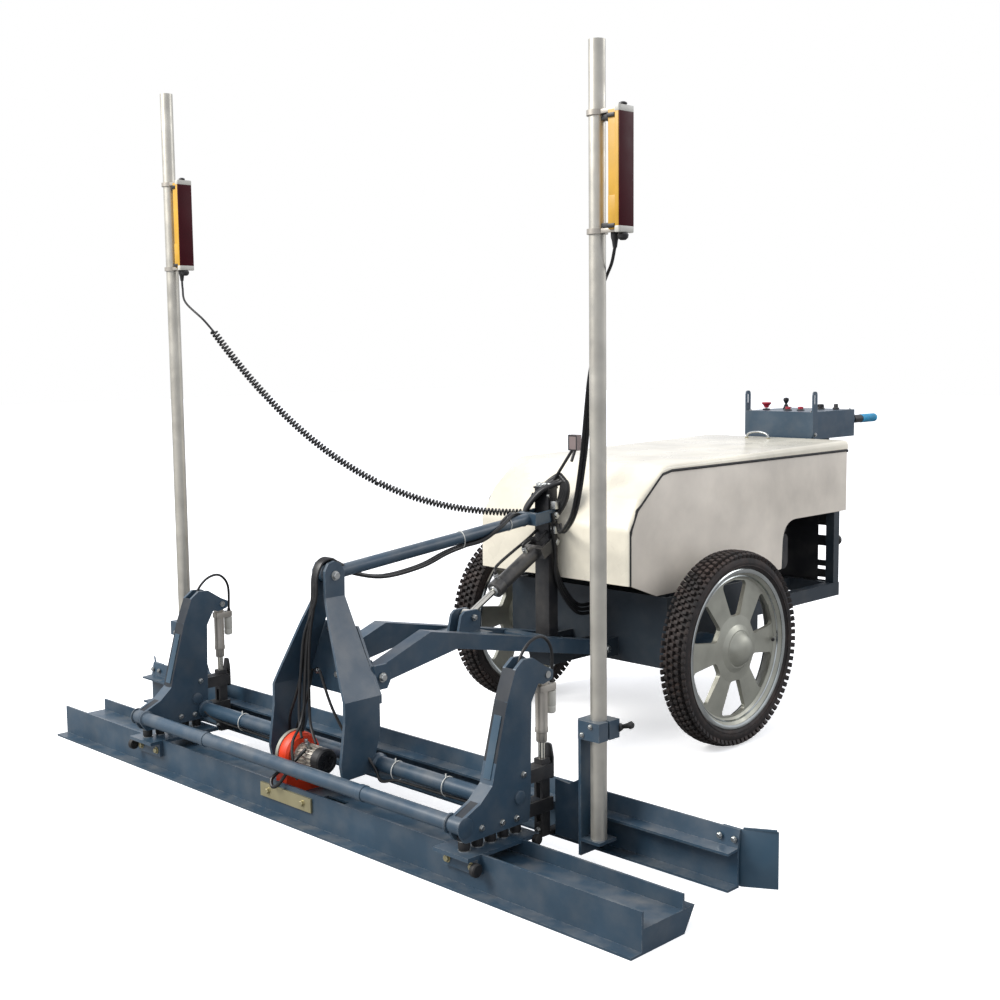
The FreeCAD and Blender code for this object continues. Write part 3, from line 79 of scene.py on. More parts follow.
class Look:
    """A node material: starts from one colour, then gains variation, dust, wear and bump."""

    def __init__(self, name, colour, roughness, metallic=0.0, coat=0.0):
        self.material = bpy.data.materials.new(name)
        self.material.use_nodes = True
        self.material.diffuse_color = srgb(*colour)
        self.nodes = self.material.node_tree.nodes
        self.links = self.material.node_tree.links
        self.shader = self.nodes["Principled BSDF"]
        self.shader.inputs["Metallic"].default_value = metallic
        self.shader.inputs["Coat Weight"].default_value = coat
        self.shader.inputs["Coat Roughness"].default_value = 0.15
        self.place = self.nodes.new("ShaderNodeTexCoord").outputs["Object"]
        self.colour = srgb(*colour)
        self.rough = roughness
        self.height = None

    def plug(self, value, socket):
        if isinstance(value, bpy.types.NodeSocket):
            self.links.new(value, socket)
        else:
            socket.default_value = value

    def noise(self, scale, detail=4.0, stretch=(1, 1, 1)):
        """Cloudy noise, 0 to 1, with its grain given per metre."""
        mapping = self.nodes.new("ShaderNodeMapping")
        mapping.inputs["Scale"].default_value = stretch
        self.links.new(self.place, mapping.inputs["Vector"])
        node = self.nodes.new("ShaderNodeTexNoise")
        node.inputs["Scale"].default_value = scale
        node.inputs["Detail"].default_value = detail
        self.links.new(mapping.outputs["Vector"], node.inputs["Vector"])
        return node.outputs["Fac"]

    def ramp(self, value, low, high, start=0.0, end=1.0):
        """Map low..high to start..end, clamped."""
        node = self.nodes.new("ShaderNodeMapRange")
        for socket, number in zip(("From Min", "From Max", "To Min", "To Max"), (low, high, start, end)):
            node.inputs[socket].default_value = number
        self.plug(value, node.inputs["Value"])
        return node.outputs["Result"]

    def math(self, operation, a, b):
        node = self.nodes.new("ShaderNodeMath")
        node.operation = operation
        self.plug(a, node.inputs[0])
        self.plug(b, node.inputs[1])
        return node.outputs[0]

    def mix(self, factor, a, b):
        node = self.nodes.new("ShaderNodeMix")
        node.data_type = "RGBA"
        self.plug(factor, node.inputs[0])
        self.plug(a, node.inputs[6])
        self.plug(b, node.inputs[7])
        return node.outputs[2]

    def shades(self, colour, scale=5.0, darker=0.82, lighter=1.15):
        """Blotches a little darker and lighter than the colour."""
        dark = tuple(part * darker for part in colour[:3]) + (1,)
        light = tuple(min(1, part * lighter) for part in colour[:3]) + (1,)
        return self.mix(self.ramp(self.noise(scale, 6), 0.3, 0.7), dark, light)

    def dust(self, amount, colour=(168, 160, 148)):
        """Pale dust that settles on faces that look up."""
        normal = self.nodes.new("ShaderNodeNewGeometry").outputs["Normal"]
        parts = self.nodes.new("ShaderNodeSeparateXYZ")
        self.links.new(normal, parts.inputs[0])
        facing = self.ramp(parts.outputs["Z"], -0.2, 1.0, 0.25, 1.0)
        patches = self.ramp(self.noise(14, 8), 0.42, 0.75)
        cover = self.math("MULTIPLY", self.math("MULTIPLY", facing, patches), amount)
        self.colour = self.mix(cover, self.colour, srgb(*colour))
        self.rough = self.math("MAXIMUM", self.rough, self.math("MULTIPLY", cover, 1.4))

    def worn_edges(self, amount, colour, width=1.6 * MM):
        """Rubbed paint along the edges, found from the rounded normal."""
        geometry = self.nodes.new("ShaderNodeNewGeometry").outputs["Normal"]
        bevel = self.nodes.new("ShaderNodeBevel")
        bevel.samples = 4
        bevel.inputs["Radius"].default_value = width
        dot = self.nodes.new("ShaderNodeVectorMath")
        dot.operation = "DOT_PRODUCT"
        self.links.new(geometry, dot.inputs[0])
        self.links.new(bevel.outputs[0], dot.inputs[1])
        edge = self.ramp(dot.outputs["Value"], 0.995, 0.9)
        broken = self.ramp(self.noise(70, 6), 0.45, 0.62)
        worn = self.math("MULTIPLY", self.math("MULTIPLY", edge, broken), amount)
        self.colour = self.mix(worn, self.colour, srgb(*colour))

    def vary_roughness(self, spread, scale=9.0):
        cloud = self.ramp(self.noise(scale, 5), 0.3, 0.7, -spread, spread)
        self.rough = self.math("ADD", self.rough, cloud)

    def bump(self, scale, depth, detail=3.0, stretch=(1, 1, 1)):
        """Fine relief, its depth in metres."""
        node = self.nodes.new("ShaderNodeBump")
        node.inputs["Distance"].default_value = depth
        node.inputs["Strength"].default_value = 1.0
        self.links.new(self.noise(scale, detail, stretch), node.inputs["Height"])
        if self.height is not None:
            self.links.new(self.height, node.inputs["Normal"])
        self.height = node.outputs["Normal"]

    def done(self):
        self.plug(self.colour, self.shader.inputs["Base Color"])
        self.plug(self.rough, self.shader.inputs["Roughness"])
        if self.height is not None:
            self.links.new(self.height, self.shader.inputs["Normal"])
        return self.material


def paint(name, colour, roughness=0.38, dust=0.35, wear=0.6, under=(150, 152, 150), coat=0.15):
    """Sprayed paint on steel: blotchy, dusty on top, rubbed to metal along its edges."""
    look = Look(name, colour, roughness, coat=coat)
    look.colour = look.shades(look.colour)
    look.worn_edges(wear, under)
    look.dust(dust)
    look.vary_roughness(0.07)
    look.bump(420, 0.12 * MM)
    look.bump(9, 0.5 * MM, detail=2)
    return look.done()


def metal(name, colour, roughness=0.3, grain=(1, 1, 1), dust=0.15, depth=0.05 * MM, metallic=1.0):
    """Bare metal with a drawn or cast grain."""
    look = Look(name, colour, roughness, metallic=metallic)
    look.colour = look.shades(look.colour, scale=12, darker=0.8, lighter=1.1)
    look.dust(dust)
    look.vary_roughness(0.1, 20)
    look.bump(260, depth, stretch=grain)
    return look.done()


def rubber(name, colour, roughness=0.62, dust=0.5, dirt=(120, 96, 78), depth=0.15 * MM, grain=300):
    look = Look(name, colour, roughness)
    look.colour = look.shades(look.colour, scale=30, darker=0.7, lighter=1.4)
    look.worn_edges(0.35, dirt, 2.5 * MM)
    look.dust(dust, dirt)
    look.vary_roughness(0.08, 40)
    look.bump(grain, depth)
    return look.done()


def plastic(name, colour, roughness=0.4, dust=0.12, coat=0.0, depth=0.06 * MM):
    look = Look(name, colour, roughness, coat=coat)
    look.colour = look.shades(look.colour, scale=18, darker=0.9, lighter=1.08)
    look.worn_edges(0.25, tuple(min(255, part + 60) for part in colour))
    look.dust(dust)
    look.vary_roughness(0.05, 30)
    look.bump(600, depth)
    return look.done()


SLATE = paint("slate_paint", (47, 69, 86), dust=0.25)
SLATE_LIGHT = paint("slate_light", (45, 72, 90), 0.42, dust=0.12)
# A darker copy of the slate paint: painted shade for the chassis frame under the hood.
SLATE_SHADED = paint("slate_painted_shade", (33, 44, 53), 0.5, dust=0.15, coat=0.05)
# Near-black slate: painted shade for the recess between each arm's side plates.
RECESS_SHADE = paint("recess_painted_shade", (20, 29, 38), 0.6, dust=0.1, wear=0.0, coat=0.0)
BLACK = paint("black_paint", (30, 31, 34), 0.42, dust=0.25, wear=0.35, coat=0.0)
IVORY = paint("hood_paint", (230, 223, 204), 0.3, dust=0.1, wear=0.12, under=(190, 186, 178), coat=0.3)
BEIGE = paint("panel_paint", (221, 212, 198), 0.4, dust=0.1, wear=0.15, under=(170, 166, 158))
TANK = paint("tank_paint", (40, 54, 66), 0.4)
ORANGE = paint("vibrator_paint", (218, 58, 14), 0.5, dust=0.03, wear=0.3, coat=0.0)
BARREL = paint("barrel_paint", (50, 50, 50), 0.36)
MAST = metal("mast_metal", (198, 194, 183), 0.42, (1, 1, 0.02), dust=0.25, metallic=0.75)
ZINC = metal("bright_steel", (186, 188, 186), 0.3)
CHROME = metal("chrome", (226, 222, 210), 0.1, dust=0.05, depth=0.01 * MM)
POLISHED = metal("polished_lip", (186, 190, 188), 0.16, dust=0.05, depth=0.01 * MM)
CAST = metal("rim_cast", (168, 168, 156), 0.42, dust=0.3, depth=0.12 * MM, metallic=0.6)
BRASS = metal("plate_zinc", (178, 170, 134), 0.4, dust=0.25, metallic=0.7)
GREY_CAST = metal("actuator_metal", (178, 172, 162), 0.4, (1, 1, 0.1), dust=0.2, metallic=0.6)
IRON = metal("engine_metal", (66, 66, 68), 0.55, dust=0.35, depth=0.3 * MM, metallic=0.5)
TYRE = rubber("tyre", (27, 23, 22), 0.7, dust=0.42, dirt=(104, 82, 72))
RUBBER = rubber("rubber", (22, 22, 23), dust=0.3, dirt=(96, 90, 84))
CABLE = rubber("cable_black", (17, 17, 18), 0.42, dust=0.15, dirt=(80, 78, 74), depth=0.05 * MM)
GRIP = rubber("grip_blue", (36, 138, 178), 0.45, dust=0.1, dirt=(120, 150, 160), depth=0.1 * MM, grain=900)
YELLOW = plastic("receiver_yellow", (196, 150, 40), 0.45)
MAROON = plastic("receiver_window", (62, 8, 18), 0.45, dust=0.02, depth=0.0)
MAROON.node_tree.nodes["Principled BSDF"].inputs["Specular IOR Level"].default_value = 0.12
CAP = plastic("receiver_cap", (196, 194, 184), 0.38)
KNOB = plastic("knob_black", (24, 24, 26), 0.45)
RED = plastic("button_red", (168, 28, 48), 0.25, coat=0.5)
CASE_PINK = plastic("lamp_case", (128, 114, 112), 0.45)
TIE = plastic("cable_tie", (226, 226, 218), 0.4)


# ---- mesh building ---------------------------------------------------------------------------

def frame_of(direction):
    """A turn that takes Z to a direction."""
    return Vector(direction).to_track_quat("Z", "Y").to_matrix().to_4x4()


class Shape:
    """A piece under construction: closed parts in one mesh, each painted with one material."""

    def __init__(self, *materials):
        self.bm = bmesh.new()
        self.materials = list(materials)
        self.paint = 0

    def use(self, material):
        if material not in self.materials:
            self.materials.append(material)
        self.paint = self.materials.index(material)
        return self

    def take(self, part, matrix=None):
        """Add a small bmesh, moved by a matrix, and free it."""
        if matrix is not None:
            part.transform(matrix)
        for face in part.faces:
            face.material_index = self.paint
        mesh = bpy.data.meshes.new("part")
        part.to_mesh(mesh)
        part.free()
        self.bm.from_mesh(mesh)
        bpy.data.meshes.remove(mesh)
        return self

    def repeat(self, part, matrices):
        """Add copies of a small bmesh at each matrix."""
        for face in part.faces:
            face.material_index = self.paint
        for matrix in matrices:
            mesh = bpy.data.meshes.new("part")
            part.to_mesh(mesh)
            mesh.transform(matrix)
            self.bm.from_mesh(mesh)
            bpy.data.meshes.remove(mesh)
        part.free()
        return self

    def block(self, low, high, bevel=1.0 * MM, matrix=None):
        return self.take(block_part(low, high, bevel), matrix)

    def lathe(self, profile, centre, axis, sides=32):
        """Turn a closed profile of (along, radius) corners about an axis through a centre."""
        matrix = Matrix.Translation(centre) @ frame_of(axis)
        return self.take(lathe_part(profile, sides), matrix)

    def bar(self, start, end, radius, bevel=0.8 * MM, sides=24):
        """A round bar with softened ends."""
        start, end = Vector(start), Vector(end)
        long = (end - start).length
        bevel = min(bevel, radius * 0.4, long * 0.4)
        profile = [(0, 0), (0, radius - bevel), (bevel, radius), (long - bevel, radius),
                   (long, radius - bevel), (long, 0)]
        return self.lathe(profile, start, end - start, sides)

    def tube(self, points, radius, sides=10):
        return self.take(tube_part(points, radius, sides))

    def bolt(self, centre, direction, across=13 * MM, head=6 * MM, washer=True):
        """A hexagon head on a washer, standing on a face."""
        direction = Vector(direction).normalized()
        centre = Vector(centre)
        radius = across / math.sqrt(3)
        if washer:
            self.lathe([(0, 0), (0, radius * 1.25), (1.4 * MM, radius * 1.25), (1.4 * MM, 0)], centre,
                       direction, 20)
        base = centre + direction * (1.2 * MM if washer else 0)
        profile = [(0, 0), (0, radius), (head * 0.82, radius), (head, radius * 0.82), (head, 0)]
        return self.lathe(profile, base, direction, 6)

    def plate(self, outline, plane, low, high, bevel=0.8 * MM):
        """An outline of (a, b) corners in a plane, thick from low to high along its normal."""
        return self.take(plate_part(outline, plane, low, high, bevel))

    def done(self, name, body=None, slot=None, replaces=(), sharp=35.0):
        mesh = bpy.data.meshes.new(name)
        bmesh.ops.recalc_face_normals(self.bm, faces=self.bm.faces)
        for face in self.bm.faces:
            face.smooth = True
        self.bm.to_mesh(mesh)
        self.bm.free()
        mesh.set_sharp_from_angle(angle=math.radians(sharp))
        piece = bpy.data.objects.new(name, mesh)
        bpy.context.scene.collection.objects.link(piece)
        for material in self.materials:
            mesh.materials.append(material)
        if body:
            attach(piece, body)
        if replaces:
            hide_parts(*replaces)
        return piece


def block_part(low, high, bevel):
    low, high = Vector(low), Vector(high)
    part = bmesh.new()
    size = high - low
    matrix = Matrix.Translation((low + high) / 2) @ Matrix.Diagonal((*size, 1))
    bmesh.ops.create_cube(part, size=1, matrix=matrix)
    soft = min(bevel, min(abs(side) for side in size) * 0.45)
    if soft > 0:
        bmesh.ops.bevel(part, geom=part.edges[:], offset=soft, segments=2, profile=0.6, affect="EDGES")
    return part


def lathe_part(profile, sides):
    part = bmesh.new()
    rings = []
    for along, radius in profile:
        if radius < 1e-6:
            rings.append([part.verts.new((0, 0, along))])
            continue
        ring = []
        for step in range(sides):
            angle = 2 * math.pi * step / sides
            ring.append(part.verts.new((radius * math.cos(angle), radius * math.sin(angle), along)))
        rings.append(ring)
    closed = profile[0][1] > 1e-6 or profile[-1][1] > 1e-6
    pairs = list(zip(rings, rings[1:]))
    if closed:
        pairs.append((rings[-1], rings[0]))
    for first, second in pairs:
        for step in range(sides):
            after = (step + 1) % sides
            corners = [first[step % len(first)], first[after % len(first)],
                       second[after % len(second)], second[step % len(second)]]
            corners = [corner for place, corner in enumerate(corners) if corner not in corners[:place]]
            if len(corners) > 2:
                part.faces.new(corners)
    return part


def tube_part(points, radius, sides):
    """A round tube along points, with rounded ends; radius may be a number or one for each point."""
    points = [Vector(point) for point in points]
    radii = radius if isinstance(radius, (list, tuple)) else [radius] * len(points)
    part = bmesh.new()
    rings = []
    side = None
    for place, point in enumerate(points):
        ahead = points[min(place + 1, len(points) - 1)] - points[max(place - 1, 0)]
        ahead.normalize()
        if side is None:
            side = ahead.orthogonal().normalized()
        side = (side - ahead * side.dot(ahead)).normalized()
        other = ahead.cross(side)
        ring = []
        for step in range(sides):
            angle = 2 * math.pi * step / sides
            ring.append(part.verts.new(point + (side * math.cos(angle) + other * math.sin(angle)) * radii[place]))
        rings.append(ring)
    for first, second in zip(rings, rings[1:]):
        for step in range(sides):
            after = (step + 1) % sides
            part.faces.new((first[step], first[after], second[after], second[step]))
    for ring, tip in ((rings[0], points[0] * 2 - points[1]), (rings[-1], points[-1] * 2 - points[-2])):
        end = (sum((vert.co for vert in ring), Vector()) / sides)
        out = (tip - end).normalized() * radii[0] * 0.5
        peak = part.verts.new(end + out)
        for step in range(sides):
            part.faces.new((ring[step], ring[(step + 1) % sides], peak))
    return part


PLANES = {
    "YZ": lambda a, b, c: (c, a, b),
    "XZ": lambda a, b, c: (a, c, b),
    "XY": lambda a, b, c: (a, b, c),
}


def plate_part(outline, plane, low, high, bevel):
    place = PLANES[plane]
    part = bmesh.new()
    bottom = [part.verts.new(place(a, b, low)) for a, b in outline]
    top = [part.verts.new(place(a, b, high)) for a, b in outline]
    caps = [part.faces.new(bottom), part.faces.new(top[::-1])]
    count = len(outline)
    for step in range(count):
        after = (step + 1) % count
        part.faces.new((bottom[step], top[step], top[after], bottom[after]))
    bmesh.ops.recalc_face_normals(part, faces=part.faces)
    if bevel > 0:
        rims = {edge for cap in caps for edge in cap.edges}
        bmesh.ops.bevel(part, geom=list(rims), offset=min(bevel, abs(high - low) * 0.4), segments=2,
                        profile=0.6, affect="EDGES")
    return part


def smooth(points, per=8):
    """A curve through points, as many points for each span as asked."""
    points = [Vector(point) for point in points]
    padded = [points[0] * 2 - points[1], *points, points[-1] * 2 - points[-2]]
    curve = []
    for a, b, c, d in zip(padded, padded[1:], padded[2:], padded[3:]):
        for step in range(per):
            t = step / per
            curve.append(0.5 * (2 * b + (c - a) * t + (2 * a - 5 * b + 4 * c - d) * t * t
                                + (3 * b - a - 3 * c + d) * t ** 3))
    curve.append(points[-1])
    return curve


def arc(centre, radius, start, end, steps=8):
    """Corners along an arc in a plane, by angle in degrees."""
    corners = []
    for step in range(steps + 1):
        angle = math.radians(start + (end - start) * step / steps)
        corners.append((centre[0] + radius * math.cos(angle), centre[1] + radius * math.sin(angle)))
    return corners


def rounded(outline, radius, steps=5):
    """Round each corner of an outline; radius may be one number or one for each corner."""
    radii = radius if isinstance(radius, (list, tuple)) else [radius] * len(outline)
    result = []
    count = len(outline)
    for place, corner in enumerate(outline):
        corner = Vector(corner)
        back = Vector(outline[place - 1]) - corner
        ahead = Vector(outline[(place + 1) % count]) - corner
        half = back.angle(ahead) / 2
        if radii[place] <= 0 or half > math.radians(89):
            result.append(tuple(corner))
            continue
        cut = min(radii[place] / math.tan(half), back.length * 0.49, ahead.length * 0.49)
        first, last = corner + back.normalized() * cut, corner + ahead.normalized() * cut
        for step in range(steps + 1):
            t = step / steps
            result.append(tuple(first * (1 - t) ** 2 + corner * 2 * t * (1 - t) + last * t * t))
    return result


# ---- CAD nodes that stay ---------------------------------------------------------------------

CAD_LOOKS = {
    # The chassis frame takes the darker slate copy: painted shade under the hood.
    SLATE_SHADED: ("chassis_frame",),
    SLATE: ("axle_beam", "lift_fork", "top_link", "arm_frames", "cross_tubes",
            "tower_plates", "tower_rear_plate", "hanger_bars", "vibrating_pan", "plow_blade",
            "mast_brackets", "console_box", "handlebars"),
    BLACK: ("chassis_mast", "plow_hangers"),
    ZINC: ("pivot_pins", "fork_pins", "head_pins", "hood_hinges", "hood_handle", "eccentric_shaft"),
    MAST: ("masts",), BARREL: ("cylinder_barrel",), CHROME: ("cylinder_rod", "actuator_rods"),
    IRON: ("engine", "hydraulic_pump"), TANK: ("oil_tank",), KNOB: ("battery",),
    CAST: ("rim_left", "rim_right", "hub_left", "hub_right"), CASE_PINK: ("socket_box",),
    BRASS: ("vibrator_base",), RUBBER: ("isolators",),
}
SOFTENED = ("chassis_frame", "lift_fork", "top_link", "arm_frames", "tower_plates", "tower_rear_plate",
            "hanger_bars", "vibrating_pan", "plow_blade", "mast_brackets", "console_box", "plow_hangers",
            "chassis_mast", "rim_left", "rim_right", "cylinder_barrel", "socket_box", "battery", "oil_tank")


def recolour(name, material, inside):
    """Give the faces of a CAD node that lie in a region their own material."""
    node = NODES[name]
    node.data.materials.append(material)
    for polygon in node.data.polygons:
        if inside(node.matrix_world @ polygon.center):
            polygon.material_index = len(node.data.materials) - 1


def dress_cad_nodes():
    for material, names in CAD_LOOKS.items():
        for name in names:
            mesh = NODES[name].data
            mesh.materials.clear()
            mesh.materials.append(material)
    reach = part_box("arm_frames")[1].x
    # Faces between each arm's side plates take the near-black slate: painted shade in that recess.
    recolour("arm_frames", RECESS_SHADE, lambda spot: 10 * MM < reach - abs(spot.x) < 34 * MM and spot.y < 0.2)
    recolour("socket_box", BLACK, lambda spot: spot.z < 0.96)
    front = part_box("vibrator_base")[0].y
    recolour("vibrator_base", ORANGE, lambda spot: spot.y > front + 14 * MM)
    recolour("arm_frames", BLACK, lambda spot: spot.y > 0.209 and spot.z < 0.26)
    for name in SOFTENED:
        node = NODES[name]
        flat = node.modifiers.new("flats", "DECIMATE")
        flat.decimate_type = "DISSOLVE"
        flat.angle_limit = math.radians(0.6)
        soft = node.modifiers.new("softened", "BEVEL")
        soft.width = 1.2 * MM
        soft.segments = 2
        soft.limit_method = "ANGLE"
        soft.angle_limit = math.radians(38)
        soft.harden_normals = True


# ---- wheels ----------------------------------------------------------------------------------

def tyre(side):
    """A knobbly tyre: a round carcass, five staggered rows of blocks and ribs on the sidewall."""
    low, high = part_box(f"tyre_{side}")
    centre = pivot(f"wheel_{side}_spin")
    outer = (high.z - low.z) / 2
    half = (high.x - low.x) / 2
    seat = outer - 61 * MM
    base = outer - 15 * MM
    shape = Shape(TYRE)
    wall = [(-0.62, 0), (-0.86, 8), (-0.98, 20), (-0.97, 32), (-0.84, 42), (-0.5, 45.5), (0, 47)]
    profile = [(half * a, seat + b * MM) for a, b in wall]
    profile += [(-a, r) for a, r in profile[-2::-1]]
    shape.lathe(profile, centre, X, 120)
    for rib in (14, 24):
        for sign in (-1, 1):
            at = half * 0.955 * sign
            shape.lathe([(at - 1.6 * MM, seat + rib * MM), (at + 1.6 * MM, seat + rib * MM),
                         (at + 1.2 * MM, seat + (rib + 2.5) * MM), (at - 1.2 * MM, seat + (rib + 2.5) * MM)],
                        centre, X, 90)
    count = 84
    rows = ((-0.82, 0.5, 11, 15, 30), (-0.42, 0, 14, 13, 8), (0, 0.5, 15, 12, 0), (0.42, 0, 14, 13, -8),
            (0.82, 0.5, 11, 15, -30))
    for across, shift, wide, long, tilt in rows:
        drop = (abs(across) ** 4) * 12 * MM
        part = block_part((-wide / 2 * MM, -long / 2 * MM, -6 * MM), (wide / 2 * MM, long / 2 * MM, 12 * MM),
                          2.2 * MM)
        places = []
        for number in range(count):
            angle = 2 * math.pi * (number + shift) / count
            out = Matrix.Rotation(angle, 4, "X") @ Matrix.Translation((0, 0, base - drop + 2.5 * MM))
            lean = Matrix.Rotation(math.radians(-tilt), 4, "Y")
            places.append(Matrix.Translation(centre + X * half * across) @ out @ lean)
        shape.repeat(part, places)
    shape.done(f"knobbly_tyre_{side}", f"wheel_{side}", "tyre", (f"tyre_{side}",), 40)


def wheel_trim(side):
    """Polished lips and a ring on the rim, the valve, and a cast dome over the hub."""
    centre = pivot(f"wheel_{side}_spin")
    low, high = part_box(f"rim_{side}")
    seat = (high.z - low.z) / 2
    out = 1 if side == "right" else -1
    half = (high.x - low.x) / 2 * 0.95
    shape = Shape(POLISHED)
    for sign in (-1, 1):
        at = half * sign
        profile = [(at - 4 * MM * sign, seat - 9 * MM), (at + 3 * MM * sign, seat - 10 * MM),
                   (at + 5.5 * MM * sign, seat - 5 * MM), (at + 6 * MM * sign, seat + 2 * MM),
                   (at + 3.5 * MM * sign, seat + 5.5 * MM), (at, seat + 4 * MM), (at + 1 * MM * sign, seat - 2 * MM)]
        shape.lathe(profile, centre, X, 96)
    shape.lathe([(out * 22 * MM, seat - 24 * MM), (out * 26 * MM, seat - 22 * MM), (out * 24 * MM, seat - 17 * MM),
                 (out * 19 * MM, seat - 18 * MM)], centre, X, 96)
    foot = centre + Vector((out * 20 * MM, seat * 0.86, 0))
    shape.use(ZINC).bar(foot, foot + Vector((out * 14 * MM, -26 * MM, 0)), 4.5 * MM)
    shape.use(RUBBER).bar(foot + Vector((out * 12 * MM, -22 * MM, 0)), foot + Vector((out * 17 * MM, -33 * MM, 0)),
                          5.5 * MM)
    shape.use(ZINC)
    dome = [(22 * MM, 0), (20 * MM, 78 * MM), (25 * MM, 74 * MM), (30 * MM, 62 * MM), (42 * MM, 54 * MM),
            (56 * MM, 43 * MM), (64 * MM, 30 * MM), (67 * MM, 14 * MM), (67.5 * MM, 0)]
    shape.use(CAST).lathe(dome, centre, X * out, 64)
    shape.done(f"wheel_trim_{side}", f"wheel_{side}", "rim_cast")


# ---- receivers -------------------------------------------------------------------------------

def receiver(side):
    """A laser receiver: yellow case, wrap-round window between silver caps, knobs and mast clips."""
    low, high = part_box(f"receiver_{side}")
    mast_low, mast_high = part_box("masts")
    half = 20 * MM
    mast_x = mast_high.x - half if side == "right" else mast_low.x + half
    y = mast_low.y + half
    bottom, top = high.z - 283 * MM, high.z
    near, far = mast_x + 48 * MM, mast_x + 88 * MM
    deep = 26 * MM
    shape = Shape(YELLOW)
    body = [(near, y - deep + 6 * MM), (far - 10 * MM, y - deep + 6 * MM), (far - 10 * MM, y + deep), (near, y + deep)]
    shape.plate(rounded(body, [4 * MM, 1 * MM, 1 * MM, 4 * MM]), "XY", bottom + 8 * MM, top - 8 * MM, 2 * MM)
    shape.block((far - 14 * MM, y - deep, bottom + 10 * MM), (far - 3 * MM, y + deep, top - 10 * MM), 1.5 * MM)
    shape.block((near + 2 * MM, y - deep + 4 * MM, bottom + 20 * MM), (far - 15 * MM, y, bottom + 84 * MM), 2 * MM)
    shape.use(CAP)
    whole = rounded([(far - 15 * MM, y - deep - 1 * MM), (far + 0.5 * MM, y - deep - 1 * MM),
                     (far + 0.5 * MM, y + deep + 1 * MM), (far - 15 * MM, y + deep + 1 * MM)],
                    [3 * MM, 6 * MM, 6 * MM, 3 * MM], 6)
    shape.plate(whole, "XY", bottom, bottom + 15 * MM, 2.5 * MM)
    shape.plate(whole, "XY", top - 15 * MM, top, 2.5 * MM)
    shape.use(MAROON)
    shape.block((far - 5 * MM, y - deep + 1 * MM, bottom + 14 * MM), (far - 0.2 * MM, y + deep - 1 * MM, top - 14 * MM),
                0.8 * MM)
    shape.use(KNOB)
    for z, up, wide, tall in ((bottom, -1, 13, 17), (top, 1, 10, 7)):
        profile = [(-1 * MM, 0), (-1 * MM, wide * 0.7 * MM), (tall * 0.3 * MM, wide * MM), (tall * 0.7 * MM, wide * 0.92 * MM),
                   (tall * MM, wide * 0.5 * MM), (tall * MM, 0)]
        shape.lathe(profile, Vector((far - 8 * MM, y - 4 * MM, z)), Z * up, 28)
    shape.bar((mast_x - half - 5 * MM, y + 8 * MM, bottom + 10 * MM), (mast_x - half - 5 * MM, y + 8 * MM, top - 6 * MM), 3 * MM)
    for z in (bottom + 1 * MM, top - 14 * MM):
        shape.use(GREY_CAST).lathe([(0, half), (0, half + 5 * MM), (12 * MM, half + 5 * MM), (12 * MM, half)],
                                   Vector((mast_x, y, z)), Z, 40)
        shape.block((mast_x + half + 2 * MM, y - 14 * MM, z + 1 * MM), (near + 18 * MM, y - 8 * MM, z + 11 * MM), 1 * MM)
        inward = 10 * MM if z < (bottom + top) / 2 else -12 * MM
        shape.use(KNOB).block((mast_x + half, y - 8 * MM, z + inward - 2 * MM), (near + 2 * MM, y + 14 * MM, z + inward + 14 * MM), 2 * MM)
        shape.block((near, y - deep + 1 * MM, z + inward), (far - 16 * MM, y - 10 * MM, z + inward + 10 * MM), 3 * MM)
        shape.use(ZINC).bolt((mast_x - half - 4 * MM, y, z + 6 * MM), -X, 8 * MM, 4 * MM)
    plug = Vector((near + 3 * MM, y + 2 * MM, bottom + 9 * MM))
    shape.use(RUBBER).lathe([(0, 0), (0, 10 * MM), (18 * MM, 9.5 * MM), (26 * MM, 7 * MM), (41 * MM, 5 * MM), (42 * MM, 0)],
                            plug, -Z, 24)
    shape.done(f"laser_receiver_{side}", f"receiver_{side}", "receiver_yellow", (f"receiver_{side}",))
    return plug - Z * 40 * MM


# ---- cables and hoses ------------------------------------------------------------------------

COIL_DROP = 2.5          # how sharply the coiled cable falls away from the mast


def sag(start, end, steps, power):
    """A hanging run between two points: straight in plan, and flattening towards its low end."""
    start, end = Vector(start), Vector(end)
    run = []
    for step in range(steps + 1):
        t = step / steps
        point = start.lerp(end, t)
        point.z = end.z + (start.z - end.z) * (1 - t) ** power
        run.append(point)
    return run


def coil(path, radius, pitch, per_turn=12):
    """A helix round a path."""
    lengths = [0.0]
    for a, b in zip(path, path[1:]):
        lengths.append(lengths[-1] + (b - a).length)
    steps = int(lengths[-1] / pitch * per_turn)
    points, segment = [], 0
    for step in range(steps + 1):
        want = lengths[-1] * step / steps
        while segment < len(path) - 2 and lengths[segment + 1] < want:
            segment += 1
        a, b = path[segment], path[segment + 1]
        t = (want - lengths[segment]) / (lengths[segment + 1] - lengths[segment])
        along = (b - a).normalized()
        side = along.cross(Z).normalized()
        other = along.cross(side)
        angle = 2 * math.pi * step / per_turn
        points.append(a.lerp(b, t) + (side * math.cos(angle) + other * math.sin(angle)) * radius)
    return points


def split(path, first, last):
    """The part of a path between two shares of its point count."""
    count = len(path) - 1
    return path[int(count * first):int(count * last) + 1]


def ride_lead(piece):
    """Bake the placement of a lead between the plow and its receiver into its mesh."""
    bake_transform(piece)


